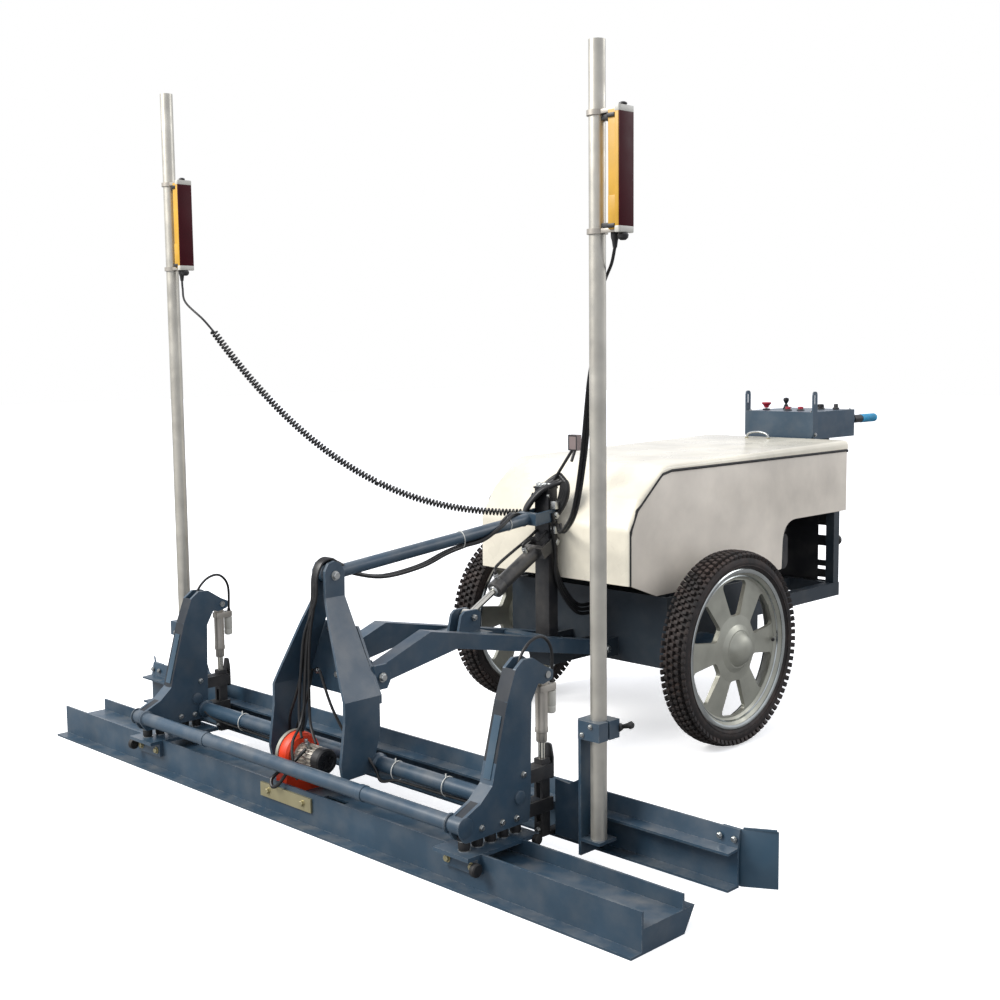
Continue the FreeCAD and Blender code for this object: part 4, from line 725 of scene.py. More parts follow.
def left_cable(plug):
    """The coiled cable from the hose mast to the left mast, and the smooth lead up to its receiver."""
    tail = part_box("signal_cable_rear")[0].z
    end = Vector((-36 * MM, 1.047, tail + 4 * MM))
    front = Vector((-0.750, 0.305, 1.353))
    run = sag(front, end, 160, COIL_DROP)
    wire, outer, pitch = 3.0 * MM, 9.5 * MM, 11.5 * MM
    rear = Shape(CABLE)
    rear.tube(coil(run[80:], outer, pitch), wire, 7)
    rear_piece = rear.done("coil_cable_rear", replaces=("signal_cable_rear", "signal_cable_mid"))
    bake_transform(rear_piece)
    fore = Shape(CABLE)
    fore.tube(coil(run[:81], outer, pitch), wire, 7)
    fore_piece = fore.done("coil_cable_front", replaces=("signal_cable_front",))
    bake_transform(fore_piece)
    lead = Shape(CABLE)
    path = smooth([front + Vector((4, 6, -8)) * MM, front, front + Vector((-26, -20, 38)) * MM,
                   plug + Vector((16, 0, -70)) * MM, plug + Vector((2, 0, -24)) * MM, plug], 8)
    lead.tube(path, 3.4 * MM, 10)
    ride_lead(lead.done("receiver_lead_left"))


def right_cable(plug):
    """The doubled cable that rises from the hose mast to the right mast, then to its receiver."""
    front = Vector((0.886, 0.286, 1.400))
    low = Vector((0.060, 1.052, 0.722))
    run = smooth([low, (0.128, 0.985, 0.712), (0.231, 0.897, 0.740), (0.374, 0.778, 0.822), (0.493, 0.679, 0.985),
                  (0.591, 0.597, 1.190), (0.700, 0.497, 1.290), (0.800, 0.384, 1.355), front], 14)
    half = len(run) // 2
    for name, path, bodies in (("signal_loom_rear", run[:half + 1], ("chassis", "cable_mid")),
                               ("signal_loom_front", run[half:], ("cable_mid", "cable_front"))):
        shape = Shape(CABLE)
        for shift in (-1, 1):
            shape.tube([point + Vector((3.6, 3.2, 0)) * MM * shift for point in path], 5.6 * MM, 10)
        piece = shape.done(name)
        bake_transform(piece)
    lead = Shape(CABLE)
    lead.tube(smooth([front + Vector((-8, 8, -10)) * MM, front, front.lerp(plug, 0.4) + Vector((-8, 14, 4)) * MM,
                      front.lerp(plug, 0.75) + Vector((-2, 6, -6)) * MM, plug], 8), 3.8 * MM, 10)
    ride_lead(lead.done("receiver_lead_right"))


def mast_hoses():
    """Hydraulic hoses that loop over the top of the hose mast, and their fittings."""
    low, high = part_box("chassis_mast")
    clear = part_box("hood_shell")[0].y - 12 * MM
    shape = Shape(CABLE)
    for number in range(4):
        inset, side = number * 6 * MM, (number - 1.5) * 12 * MM
        run = [(-18, -30, -120), (-4, -26, -64), (34, 0, -8), (76, 40, 32), (100, 66, 36), (106, 74, 4), (90, 56, -50),
               (50, 36, -108)]
        path = [Vector((low.x + a * MM + side * 0.6, min(low.y + b * MM - side * 0.6, clear), high.z + c * MM - inset * (1 if c > 0 else 0.3)))
                for a, b, c in run]
        shape.tube(smooth(path, 8), 8.5 * MM, 12)
    for number in range(3):
        x = high.x + 9 * MM
        z = high.z - 84 * MM - number * 26 * MM
        shape.tube(smooth([(x, low.y + 6 * MM, z), (x + 2 * MM, low.y + 16 * MM, z - 60 * MM),
                           (x, low.y + 30 * MM, 0.56 - number * 16 * MM), (x + 2 * MM, 1.150, 0.450 - number * 14 * MM),
                           (x + 4 * MM, 1.250, 0.440 - number * 16 * MM)], 8), 6 * MM, 10)
    shape.use(ZINC)
    for number in range(4):
        x = low.x + 12 * MM + number * 17 * MM
        shape.bolt((x, low.y + 12 * MM, high.z), Z, 15 * MM, 12 * MM)
    for z in (high.z - 70 * MM, high.z - 150 * MM):
        shape.block((high.x, low.y + 6 * MM, z), (high.x + 22 * MM, low.y + 34 * MM, z + 26 * MM), 2 * MM)
    shape.done("mast_hoses", "chassis", "cable_black")


def link_hose():
    """The hose loom along the top link, tied to it, then slack to the head."""
    rear, tip = pivot("link_swing"), Vector((0, 0.160, 0.665))
    along = (tip - rear).normalized()
    down = along.cross(X).normalized()
    if down.z > 0:
        down = -down

    def beside(share, below, side=0.0):
        return rear.lerp(tip, share) + down * below * MM + X * side * MM

    first = Shape(CABLE)
    paths = []
    for side in (-9, 5):
        path = smooth([beside(-0.02, 30, side - 42), beside(0.04, 18, side - 46), beside(0.12, -16, side - 22),
                       beside(0.18, -25, side), beside(0.26, -6, side + 20), beside(0.34, 22, side + 12),
                       beside(0.42, 27, side)], 8)
        paths.append(path)
        first.tube(path, 6.2 * MM, 10)
    piece = first.done("link_hose_rear")
    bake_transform(piece)
    second = Shape(CABLE)
    for side in (-9, 5):
        second.tube(smooth([beside(0.41, 27, side), beside(0.5, 34, side), beside(0.62, 52, side), beside(0.78, 50, side),
                            beside(0.90, 16, side), beside(0.95, -18, side), beside(0.985, -38, side)], 8), 6.2 * MM, 10)
    second.use(TIE)
    for share in (0.2, 0.43):
        spot = rear.lerp(tip, share)
        middle = spot + down * (6 if share > 0.3 else -2) * MM
        loop = [middle + down * math.cos(a) * (27 if share > 0.3 else 22) * MM + X * math.sin(a) * 20 * MM
                for a in (math.tau * step / 28 for step in range(29))]
        second.tube(loop, 1.3 * MM, 6)
    second.done("link_hose_front", "link", "cable_black")


def head_looms():
    """Cables over the tower's top and down its front, along the torsion tube and round the arms."""
    tower_low, tower_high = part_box("tower_plates")
    motor_low, motor_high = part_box("vibrator_motor")
    tube_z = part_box("cross_tubes")[0].z
    shape = Shape(CABLE)
    top = tower_high.z
    over = [(0.186, -30), (0.174, -3), (0.152, 4), (0.128, -9), (0.112, -46), (0.106, -110)]
    tails = (
        [(-26, 100, 500), (-34, 96, 400), (-36, 92, 320), (-34, 88, 262), (-30, 78, 226)],
        [(-18, 98, 500), (-26, 92, 400), (-27, 86, 310), (-22, 66, 250), (2, 20, 214), (26, 2, 168), (40, 4, 120)],
        [(-34, 104, 500), (-58, 104, 400), (-92, 108, 320), (-128, 110, 250), (-160, 130, 190), (-196, 150, 140)],
        [(-12, 100, 500), (-16, 96, 400), (-18, 96, 300), (-8, 90, 252), (18, 80, 222), (34, 76, 204)],
        [(-30, 94, 500), (-42, 88, 400), (-44, 82, 330), (-40, 76, 280), (-30, 70, 240), (-12, 62, 214)],
    )
    for number, tail in enumerate(tails):
        side = (number * 8 - 16) * MM
        path = [(side * (1 - place * 0.1), y, top + z * MM) for place, (y, z) in enumerate(over)]
        path += [(x * MM, y * MM, z * MM) for x, y, z in tail]
        shape.tube(smooth(path, 8), 4.2 * MM, 8)
    for sign in (-1, 1):
        shape.tube(smooth([((sign * 16 - 4) * MM, 0.112, 0.400), (sign * 60 * MM, 0.116, 0.300), (sign * 120 * MM, 0.128, 0.215),
                           (sign * 146 * MM, 0.150, 0.190), (sign * 185 * MM, 0.160, 0.146),
                           (sign * 215 * MM, 0.156, 0.118), (sign * 262 * MM, 0.166, 0.128),
                           (sign * 330 * MM, 0.176, 0.126), (sign * 480 * MM, 0.180, 0.126),
                           (sign * 610 * MM, 0.176, 0.132), (sign * 660 * MM, 0.168, 0.150)], 8), 4.2 * MM, 8)
    shape.use(TIE)
    for x in (-0.47, -0.24, 0.25, 0.45):
        ring = [Vector((x, 0.187 + math.cos(a) * 25 * MM, 0.1475 + math.sin(a) * 27 * MM))
                for a in (math.tau * step / 24 for step in range(25))]
        shape.tube(ring, 1.3 * MM, 6)
        shape.block((x - 1.2 * MM, 0.178, 0.173), (x + 1.2 * MM, 0.181, 0.184), 0.4 * MM)
    shape.done("head_looms", "head", "cable_black")


def actuator_leads():
    shape = Shape(CABLE)
    low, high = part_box("actuator_tubes")
    for sign in (-1, 1):
        x = (high.x - 17 * MM) * sign
        shape.tube(smooth([(x, 0.178, 0.470), (x, 0.182, 0.505), (x, 0.196, 0.540), (x, 0.232, 0.568),
                           (x, 0.274, 0.570), (x, 0.304, 0.532), (x, 0.305, 0.452)], 8), 4 * MM, 10)
    shape.done("actuator_leads", "head", "cable_black")


# ---- head ------------------------------------------------------------------------------------

def actuators():
    """Electric plow actuators: ribbed tubes with motors alongside, gear housings and clevis ends."""
    low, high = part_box("actuator_tubes")
    hook_y = 0.266
    shape = Shape(GREY_CAST)
    for sign in (-1, 1):
        x = (high.x - 17 * MM) * sign
        base = Vector((x, hook_y, low.z))
        shape.use(GREY_CAST).lathe([(0, 9.5 * MM), (0, 12.5 * MM), (3 * MM, 14 * MM), (24 * MM, 14 * MM), (26 * MM, 16.8 * MM),
                                    (36 * MM, 16.8 * MM), (38 * MM, 15.8 * MM), (129 * MM, 15.8 * MM), (129 * MM, 9.5 * MM)],
                                   base, Z, 36)
        gear_low, gear_high = 0.4325, 0.450
        block = [(x - 16.5 * MM, hook_y - 16.5 * MM), (x + 16.5 * MM, hook_y - 16.5 * MM),
                 (x + 13 * MM, hook_y + 47 * MM), (x - 13 * MM, hook_y + 47 * MM)]
        shape.plate(rounded(block, [9 * MM, 9 * MM, 12 * MM, 12 * MM]), "XY", gear_low, gear_high, 2 * MM)
        shape.block((x - 11.5 * MM, hook_y - 11 * MM, gear_high - 2 * MM), (x + 11.5 * MM, hook_y + 11 * MM, 0.470), 2 * MM)
        shape.lathe([(-11.5 * MM, 9.1 * MM), (-11.5 * MM, 13.6 * MM), (11.5 * MM, 13.6 * MM), (11.5 * MM, 9.1 * MM)],
                    Vector((x, hook_y, 0.480)), X, 28)
        motor = Vector((x, hook_y + 35 * MM, low.z + 68 * MM))
        shape.use(CAP).lathe([(0, 0), (0, 9 * MM), (3 * MM, 12.6 * MM), (16 * MM, 12.9 * MM), (17 * MM, 12.2 * MM), (19 * MM, 12.2 * MM),
                     (20 * MM, 12.9 * MM), (58 * MM, 12.9 * MM), (58 * MM, 0)], motor, Z, 30)
        shape.use(KNOB).lathe([(0, 0), (0, 6 * MM), (9 * MM, 5 * MM), (10 * MM, 0)],
                              Vector((x, hook_y + 39 * MM, gear_high - 1 * MM)), Z, 18)
        shape.use(ZINC)
        for side in (-1, 1):
            shape.bolt((x + side * 8 * MM, hook_y + 22 * MM, gear_high - 0.5 * MM), Z, 6 * MM, 3 * MM, washer=False)
    shape.done("actuator_bodies", "head", "actuator_metal", ("actuator_tubes",))


def arm_details():
    """Cover strips on the arms' front edges, tube flanges and the fasteners on their cheeks."""
    low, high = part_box("arm_frames")
    reach = high.x
    wide = 44 * MM
    shape = Shape(SLATE_LIGHT)
    for sign in (-1, 1):
        middle = (reach - wide / 2) * sign
        strip = [(0.1130, 0.402), (0.0715, 0.252), (0.0690, 0.253), (0.1103, 0.403)]
        shape.use(SLATE_LIGHT).plate(strip, "YZ", middle - wide * 0.28, middle + wide * 0.28, 0.4 * MM)
        shape.use(SLATE).bar((middle - wide * 0.5, -0.026, 0.161), (middle + wide * 0.5, -0.026, 0.161), 21 * MM)
        for face in (-1, 1):
            x = middle + face * wide / 2
            out = X * face
            shape.use(SLATE).lathe([(-0.5 * MM, 0), (-0.5 * MM, 25 * MM), (3 * MM, 25 * MM), (4 * MM, 23 * MM), (4 * MM, 0)],
                        Vector((x, -0.026, 0.161)), out, 32)
            shape.use(ZINC)
            for y, z in ((0.176, 0.244), (0.150, 0.140), (0.030, 0.146), (0.1, 0.142)):
                shape.bolt((x, y, z), out, 12 * MM, 5 * MM)
            shape.use(SLATE).lathe([(-0.5 * MM, 0), (-0.5 * MM, 17 * MM), (5 * MM, 17 * MM), (6 * MM, 15 * MM), (6 * MM, 0)],
                                   Vector((x, 0.160, 0.190)), out, 28)
        inner = (reach - wide) * sign
        shape.use(SLATE).lathe([(0, 21 * MM), (0, 28 * MM), (9 * MM, 28 * MM), (12 * MM, 22 * MM)],
                    Vector((inner, 0.189, 0.151)), X * -sign, 32)
        shape.lathe([(0, 19 * MM), (0, 25 * MM), (8 * MM, 25 * MM), (11 * MM, 20 * MM)],
                    Vector((inner, -0.026, 0.161)), X * -sign, 32)
    for sign in (-1, 1):
        shape.use(SLATE).lathe([(0, 21 * MM), (0, 29 * MM), (10 * MM, 28 * MM), (14 * MM, 22 * MM)],
                    Vector((0.165 * sign, 0.189, 0.151)), X * sign, 32)
        shape.lathe([(-9 * MM, 19.8 * MM), (-9 * MM, 22 * MM), (9 * MM, 22 * MM), (9 * MM, 19.8 * MM)],
                    Vector((0.36 * sign, -0.026, 0.161)), X, 28)
    shape.done("arm_details", "head", "slate_paint")


def head_fasteners():
    low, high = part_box("head_bolts")
    shape = Shape(ZINC)
    for x, z in ((-0.112, 0.366), (-0.020, 0.370), (-0.046, 0.500), (0.046, 0.500), (0.020, 0.330), (0.112, 0.366)):
        shape.bolt((x, high.y, z), -Y, 15 * MM, 7 * MM)
    pin = Vector((0, 0.160, 0.665))
    for sign in (-1, 1):
        shape.bolt(pin + X * 31 * MM * sign, X * sign, 19 * MM, 9 * MM)
    shape.done("head_hex_bolts", "head", "bright_steel", ("head_bolts",))


def pan_mounts():
    """Rubber mounts between the arms' feet and the hangers, and the brass bolts on the pan's face."""
    low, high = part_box("isolators")
    hang_low, hang_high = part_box("hanger_bars")
    rows = 5
    radius = 14 * MM
    shape = Shape(RUBBER)
    for sign in (-1, 1):
        x = (high.x - radius) * sign
        for number in range(rows):
            y = low.y + radius + (high.y - low.y - 2 * radius) * number / (rows - 1)
            foot = Vector((x, y, low.z))
            tall = high.z - low.z
            shape.use(RUBBER).lathe([(1 * MM, 0), (1 * MM, 13 * MM), (6 * MM, 14.5 * MM), (tall - 6 * MM, 14.5 * MM),
                                     (tall - 1 * MM, 13 * MM), (tall - 1 * MM, 0)], foot, Z, 24)
            shape.use(ZINC)
            for z in (0, tall - 1.5 * MM):
                shape.lathe([(z, 0), (z, 15.5 * MM), (z + 1.5 * MM, 15.5 * MM), (z + 1.5 * MM, 0)], foot, Z, 24)
    shape.done("rubber_mounts", "head", "rubber", ("isolators",))
    face = hang_low.y
    bolts = Shape(BRASS)
    for sign in (-1, 1):
        centre = (hang_high.x - 61 * MM) * sign
        for shift in (-43, 43):
            bolts.bolt((centre + shift * MM, -12 * MM, 0.064), -Y, 15 * MM, 7 * MM)
            bolts.bolt((centre + shift * MM, 0.161, 0.072), Y, 13 * MM, 6 * MM)
        bolts.use(RUBBER).lathe([(0, 0), (0, 15 * MM), (3 * MM, 17 * MM), (13 * MM, 17 * MM), (16 * MM, 14 * MM), (16 * MM, 0)],
                                Vector((hang_high.x * sign, face + 18 * MM, 0.066)), X * sign, 28)
        bolts.lathe([(0, 0), (0, 13 * MM), (12 * MM, 13 * MM), (14 * MM, 10 * MM), (14 * MM, 0)],
                    Vector((hang_high.x * sign, hang_high.y - 14 * MM, 0.084)), X * sign, 28)
        bolts.use(BRASS)
    bolts.done("hanger_bolts", "head", "plate_zinc")


def vibrator():
    """The vibrator: a ribbed drum on a cradle, its clamp band, and a finned motor with a dark end cap."""
    low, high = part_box("vibrator_housing")
    motor_low, motor_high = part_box("vibrator_motor")
    centre = (low + high) / 2
    r = (high.z - low.z) / 2
    half = (high.x - low.x) / 2
    shape = Shape(ORANGE)
    shape.lathe([(-half, 0), (-half, r * 0.55), (-half + 5 * MM, r * 0.62), (-half + 5 * MM, r * 0.8), (-half, r * 0.86),
                 (-half + 7 * MM, r * 0.97), (-half + 12 * MM, r * 0.98), (-half + 14 * MM, r), (half - 14 * MM, r),
                 (half - 12 * MM, r * 0.98), (half - 7 * MM, r * 0.97), (half, r * 0.86), (half, 0)], centre, X, 56)
    for number in range(8):
        turn = Matrix.Translation(centre) @ Matrix.Rotation(math.tau * number / 8, 4, "X")
        shape.block((-half - 1 * MM, -3 * MM, r * 0.2), (-half + 6 * MM, 3 * MM, r * 0.84), 1 * MM, turn)
    shape.lathe([(0, 0), (0, 17 * MM), (5 * MM, 15 * MM), (7 * MM, 8 * MM), (8 * MM, 0)], centre - X * half, -X, 28)
    feet = [(centre.y - 52 * MM, 0.058), (centre.y + 52 * MM, 0.058), (centre.y + 52 * MM, 0.072),
            (centre.y + 30 * MM, 0.112), (centre.y - 30 * MM, 0.112), (centre.y - 52 * MM, 0.072)]
    shape.plate(feet, "YZ", centre.x - half * 0.8, centre.x + half * 0.8, 2 * MM)
    shape.use(ZINC)
    for number in range(6):
        angle = math.tau * (number + 0.5) / 6
        spot = centre + Vector((-half + 6 * MM, math.cos(angle) * r * 0.91, math.sin(angle) * r * 0.91))
        shape.bolt(spot, -X, 8 * MM, 4 * MM)
    for side in (-44, 44):
        shape.bolt((centre.x, centre.y + side * MM, 0.074), Z, 12 * MM, 6 * MM)
    shape.use(CAST).lathe([(-half + 1 * MM, r * 0.8), (-half + 1 * MM, r + 3 * MM), (-half + 12 * MM, r + 3 * MM),
                           (-half + 12 * MM, r * 0.8)], centre, X, 56)
    shape.use(CAP).lathe([(0, 0), (0, 6 * MM), (5 * MM, 5 * MM), (6 * MM, 0)],
                         centre + Vector((half - 2 * MM, -r * 0.5, -r * 0.1)), X, 20)
    shape.done("vibrator_drum", "head", "vibrator_paint", ("vibrator_housing",))

    motor = Shape(GREY_CAST)
    start = Vector((motor_low.x, centre.y, centre.z))
    mr = (motor_high.z - motor_low.z) / 2
    long = motor_high.x - motor_low.x
    motor.lathe([(0, 12 * MM), (0, mr), (6 * MM, mr), (8 * MM, mr * 0.84), (long - 34 * MM, mr * 0.84), (long - 34 * MM, 12 * MM)],
                start, X, 40)
    for number in range(20):
        turn = Matrix.Translation(start) @ Matrix.Rotation(math.tau * number / 20, 4, "X")
        motor.block((8 * MM, -1.2 * MM, mr * 0.8), (long - 36 * MM, 1.2 * MM, mr * 0.99), 0.5 * MM, turn)
    motor.use(KNOB).lathe([(long - 34 * MM, 0), (long - 34 * MM, mr), (long - 8 * MM, mr), (long - 3 * MM, mr * 0.9),
                           (long - 1 * MM, mr * 0.6), (long - 3 * MM, mr * 0.55), (long - 3 * MM, 0)], start, X, 40)
    for number in range(10):
        turn = Matrix.Translation(start) @ Matrix.Rotation(math.tau * number / 10, 4, "X")
        motor.block((long - 4 * MM, -1 * MM, mr * 0.15), (long - 0.5 * MM, 1 * MM, mr * 0.8), 0.4 * MM, turn)
    motor.use(ZINC).bolt(start + Vector((10 * MM, 0, mr - 2 * MM)), Z, 10 * MM, 12 * MM)
    motor.bar(start + Vector((long * 0.4, -mr * 0.4, mr * 0.8)), start + Vector((long * 0.4, -mr * 0.6, mr * 1.35)), 6 * MM)
    motor.use(CABLE)
    motor.tube(smooth([start + Vector((-30, -66, -40)) * MM, start + Vector((-34, -88, -58)) * MM,
                       start + Vector((-20, -96, -74)) * MM, start + Vector((0, -92, -66)) * MM,
                       start + Vector((16, -80, -40)) * MM, start + Vector((30, -60, -4)) * MM,
                       start + Vector((long * 1000 * 0.4, -26, 30)) * MM], 8), 5 * MM, 10)
    motor.done("vibrator_motor_body", "head", "motor_metal", ("vibrator_motor",))

    low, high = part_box("vibrator_base")
    plate = Shape(BRASS)
    for sign in (-1, 1):
        x = (low.x + high.x) / 2 + sign * (high.x - low.x) * 0.34
        plate.bolt((x, low.y, low.z + 20 * MM), -Y, 13 * MM, 6 * MM)
    plate.done("vibrator_plate_bolts", "head", "plate_zinc")


def plow_details():
    """Clevis links, pins and bolts on the plow hangers, mast clamps and wings."""
    low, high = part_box("plow_hangers")
    clamp_z = 0.375
    shape = Shape(BLACK)
    for sign in (-1, 1):
        x = (high.x - 14 * MM) * sign
        outline = rounded([(x - 17 * MM, 0.206), (x + 17 * MM, 0.206), (x + 17 * MM, 0.262), (x + 10 * MM, 0.296),
                           (x - 10 * MM, 0.296), (x - 17 * MM, 0.262)], 8 * MM)
        shape.use(BLACK).plate(outline, "XZ", 0.2872, 0.2932, 1 * MM)
        shape.block((x - 12 * MM, 0.280, 0.224), (x + 12 * MM, 0.2875, 0.252), 1 * MM)
        for z in (0.228, 0.270):
            shape.use(ZINC).bolt((x, 0.2932, z), Y, 13 * MM, 6 * MM)
        shape.bolt((x, low.y, 0.078), -Y, 11 * MM, 5 * MM)
    shape.done("hanger_links", "plow", "black_paint")

    mast_low, mast_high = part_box("masts")
    clamps = Shape(ZINC)
    for sign in (-1, 1):
        x = (mast_high.x - 20 * MM) * sign
        for shift in (-24, 24):
            clamps.bolt((x + shift * MM * 0.55 - 8 * MM * sign, mast_low.y - 16 * MM, clamp_z + shift * MM * 0.5), -Y,
                        9 * MM, 4 * MM)
        for z in (0.22, 0.16):
            clamps.bolt((x - 43 * MM * sign, 0.27, z), -X * sign, 12 * MM, 5 * MM)
    wing_low, wing_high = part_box("plow_wings")
    for sign in (-1, 1):
        for across in (1.208, 1.248):
            for z in (0.165,):
                clamps.bolt((across * sign, 0.3365, z), -Y, 11 * MM, 5 * MM)
    clamps.done("plow_bolts", "plow", "bright_steel")


def clamp_lever(side):
    low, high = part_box(f"clamp_lever_{side}")
    sign = 1 if side == "right" else -1
    centre = pivot(f"lever_{side}_turn")
    y = low.y
    shape = Shape(ZINC)
    shape.bar((centre.x, low.y, centre.z), (centre.x, high.y - 6 * MM, centre.z), 3.4 * MM)
    shape.use(KNOB).lathe([(0, 0), (0, 9 * MM), (3 * MM, 11 * MM), (13 * MM, 9 * MM), (15 * MM, 0)],
                          Vector((centre.x, y + 27 * MM, centre.z)), Y, 24)
    tip = Vector((centre.x + sign * 30 * MM, high.y - 8 * MM, centre.z + 9 * MM))
    start = Vector((centre.x, y + 36 * MM, centre.z))
    path = smooth([start, start.lerp(tip, 0.3), start.lerp(tip, 0.7), tip], 6)
    radii = [(5 + 3.5 * (step / (len(path) - 1)) ** 2) * MM for step in range(len(path))]
    shape.tube(path, radii, 14)
    shape.lathe([(-6 * MM, 0), (-6 * MM, 7 * MM), (0, 10 * MM), (6 * MM, 7 * MM), (7 * MM, 0)], tip, X, 20)
    shape.done(f"ratchet_lever_{side}", f"lever_{side}", "knob_black", (f"clamp_lever_{side}",))


# ---- linkage ---------------------------------------------------------------------------------

def linkage_details():
    """Nuts on the fork's pins, gland and ports on the lift cylinder, and its two hoses."""
    low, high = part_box("fork_pins")
    fork = Shape(ZINC)
    tip = Vector((0, 0.232, 0.381))
    rod_pin = Vector((0, 0.697, 0.467))
    for sign in (-1, 1):
        fork.bolt(tip + X * high.x * sign, X * sign, 19 * MM, 8 * MM)
        fork.bolt(rod_pin + X * 31 * MM * sign, X * sign, 14 * MM, 6 * MM)
    fork.done("fork_nuts", "fork", "bright_steel")

    foot = pivot("cylinder_swing")
    along = Vector(JOINTS["cylinder_stroke"]["axis"]).normalized()
    up = along.cross(X).normalized()
    if up.z < 0:
        up = -up
    end = foot + along * 0.273
    shape = Shape(BARREL)
    shape.lathe([(-30 * MM, 23.5 * MM), (-30 * MM, 27 * MM), (-27 * MM, 28 * MM), (0, 28 * MM), (3 * MM, 25 * MM),
                 (3 * MM, 10.5 * MM)], end, along, 36)
    shape.use(ZINC).lathe([(0, 10.2 * MM), (0, 17 * MM), (6 * MM, 15 * MM), (6 * MM, 10.2 * MM)], end + along * 3 * MM, along, 28)
    for reach in (0.098, 0.245):
        port = foot + along * reach + up * 22 * MM
        shape.bar(port, port + up * 14 * MM, 9 * MM)
        shape.bolt(port + up * 13 * MM, up, 15 * MM, 8 * MM, washer=False)
    shape.done("cylinder_fittings", "barrel", "barrel_paint")
    hoses = Shape(CABLE)
    for reach, side in ((0.098, 14), (0.245, -14)):
        port = foot + along * reach + up * 35 * MM
        hoses.tube(smooth([port, port + up * 16 * MM - along * 4 * MM, port + up * 18 * MM - along * 40 * MM + X * side * MM,
                           foot + along * 0.052 + up * 40 * MM + X * side * 1.6 * MM,
                           (side * 1.5 * MM, foot.y - 22 * MM, foot.z + 36 * MM)], 8), 4.8 * MM, 10)
    piece = hoses.done("cylinder_hoses")
    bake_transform(piece)

    rear = pivot("link_swing")
    pins = Shape(ZINC)
    for centre, reach in ((rear, 46), (foot, 46)):
        for sign in (-1, 1):
            pins.bolt(centre + X * reach * MM * sign, X * sign, 17 * MM, 6 * MM)
    for sign in (-1, 1):
        pins.bolt(pivot("fork_lift") + X * 147 * MM * sign, X * sign, 19 * MM, 8 * MM)
    pins.done("pivot_nuts", "chassis", "bright_steel")


# ---- hood and panels -------------------------------------------------------------------------

def hood_profile():
    """The hood's outline seen from the side, from its low front edge over the bends to the rear."""
    low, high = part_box("hood_shell")
    front, rear, top = low.y, high.y, high.z
    corners = [(front, low.z), (front, 0.725), (1.140, 0.818), (1.262, 0.912), (rear, top)]
    bends = [0, 60 * MM, 40 * MM, 70 * MM, 0]
    return rounded([*corners, (rear, low.z - 1)], [*bends, 0], 9)[:-1]


LIP_LINE = [(1.0865, 0.540), (1.0865, 0.7162), (1.1205, 0.7765), (1.2465, 0.8886), (1.2988, 0.8986), (2.380, 0.9006)]


def lip_depth(spot, inward):
    """How far the hood's side lip hangs in at a point of its profile: down to the panel's edge."""
    depths = []
    for (a, b), (c, e) in zip(LIP_LINE, LIP_LINE[1:]):
        run, rise = c - a, e - b
        cross = inward.y * rise - inward.z * run
        if abs(cross) < 1e-9:
            continue
        depth = ((a - spot.y) * rise - (b - spot.z) * run) / cross
        share = ((a - spot.y) * inward.z - (b - spot.z) * inward.y) / cross
        if depth > 0 and -0.001 <= share <= 1.001:
            depths.append(depth)
    return min(depths, default=6.5 * MM)


def hood():
    """The hood: one sheet bent round front and top, with soft long edges turned down at each side."""
    half = 0.325
    soft, sheet, steps = 18 * MM, 4 * MM, 6
    profile = [Vector((0, a, b)) for a, b in hood_profile()]
    shape = Shape(IVORY)
    part = bmesh.new()
    outer, inner = [], []
    for place, point in enumerate(profile):
        ahead = profile[min(place + 1, len(profile) - 1)] - profile[max(place - 1, 0)]
        inward = Vector((0, ahead.z, -ahead.y)).normalized()
        depth = lip_depth(point, inward)
        turn = min(soft, depth * 0.75)
        right_out, right_in = [], []
        for step in range(steps + 1):
            angle = math.radians(90 * step / steps)
            across, drop = half - soft + soft * math.sin(angle), turn * (1 - math.cos(angle))
            right_out.append(point + inward * drop + X * across)
            right_in.append(point + inward * (drop + sheet * math.cos(angle)) + X * (across - sheet * math.sin(angle)))
        right_out.append(point + inward * depth + X * half)
        right_in.append(point + inward * depth + X * (half - sheet))
        for rows, edge in ((outer, right_out), (inner, right_in)):
            row = [Vector((-spot.x, spot.y, spot.z)) for spot in edge[::-1]] + edge
            rows.append([part.verts.new(spot) for spot in row])
    wide = len(outer[0])
    for rows in (outer, inner):
        for a, b in zip(rows, rows[1:]):
            for step in range(wide - 1):
                part.faces.new((a[step], a[step + 1], b[step + 1], b[step]))
    for step in (0, wide - 1):
        for a, b, c, d in zip(outer, outer[1:], inner, inner[1:]):
            part.faces.new((a[step], b[step], d[step], c[step]))
    for place in (0, -1):
        for step in range(wide - 1):
            part.faces.new((outer[place][step], outer[place][step + 1], inner[place][step + 1], inner[place][step]))
    shape.take(part)
    axis = pivot("hood_open")
    for y in (1.420, 1.830, 2.240):
        shape.use(ZINC).block((axis.x, y, 0.902), (-half + 6 * MM, y + 0.040, 0.906), 1 * MM)
        shape.lathe([(0, 3.2 * MM), (0, 8 * MM), (40 * MM, 8 * MM), (40 * MM, 3.2 * MM)], Vector((axis.x, y, axis.z)), Y, 24)
    shape.done("hood_sheet", "hood", "hood_paint", ("hood_shell",), 30)


def side_outline(grow=0.0):
    """The side panel's outline: the hood's line above, a wheel-side sweep and a rounded rear cut-out."""
    low, rear = 0.496, 2.371
    top = [(1.095, 0.714 + grow), (1.128 - grow * 0.5, 0.776 + grow), (1.252 - grow * 0.4, 0.881 + grow), (1.300, 0.8905 + grow),
           (rear, 0.892 + grow)]
    corners = [*top, (rear, 0.669), (1.948, 0.669), (1.940, low), (1.226, low), (1.095, 0.544)]
    return rounded(corners, [22 * MM, 30 * MM, 40 * MM, 10 * MM, 6 * MM, 3 * MM, 130 * MM, 8 * MM, 14 * MM, 10 * MM], 8)


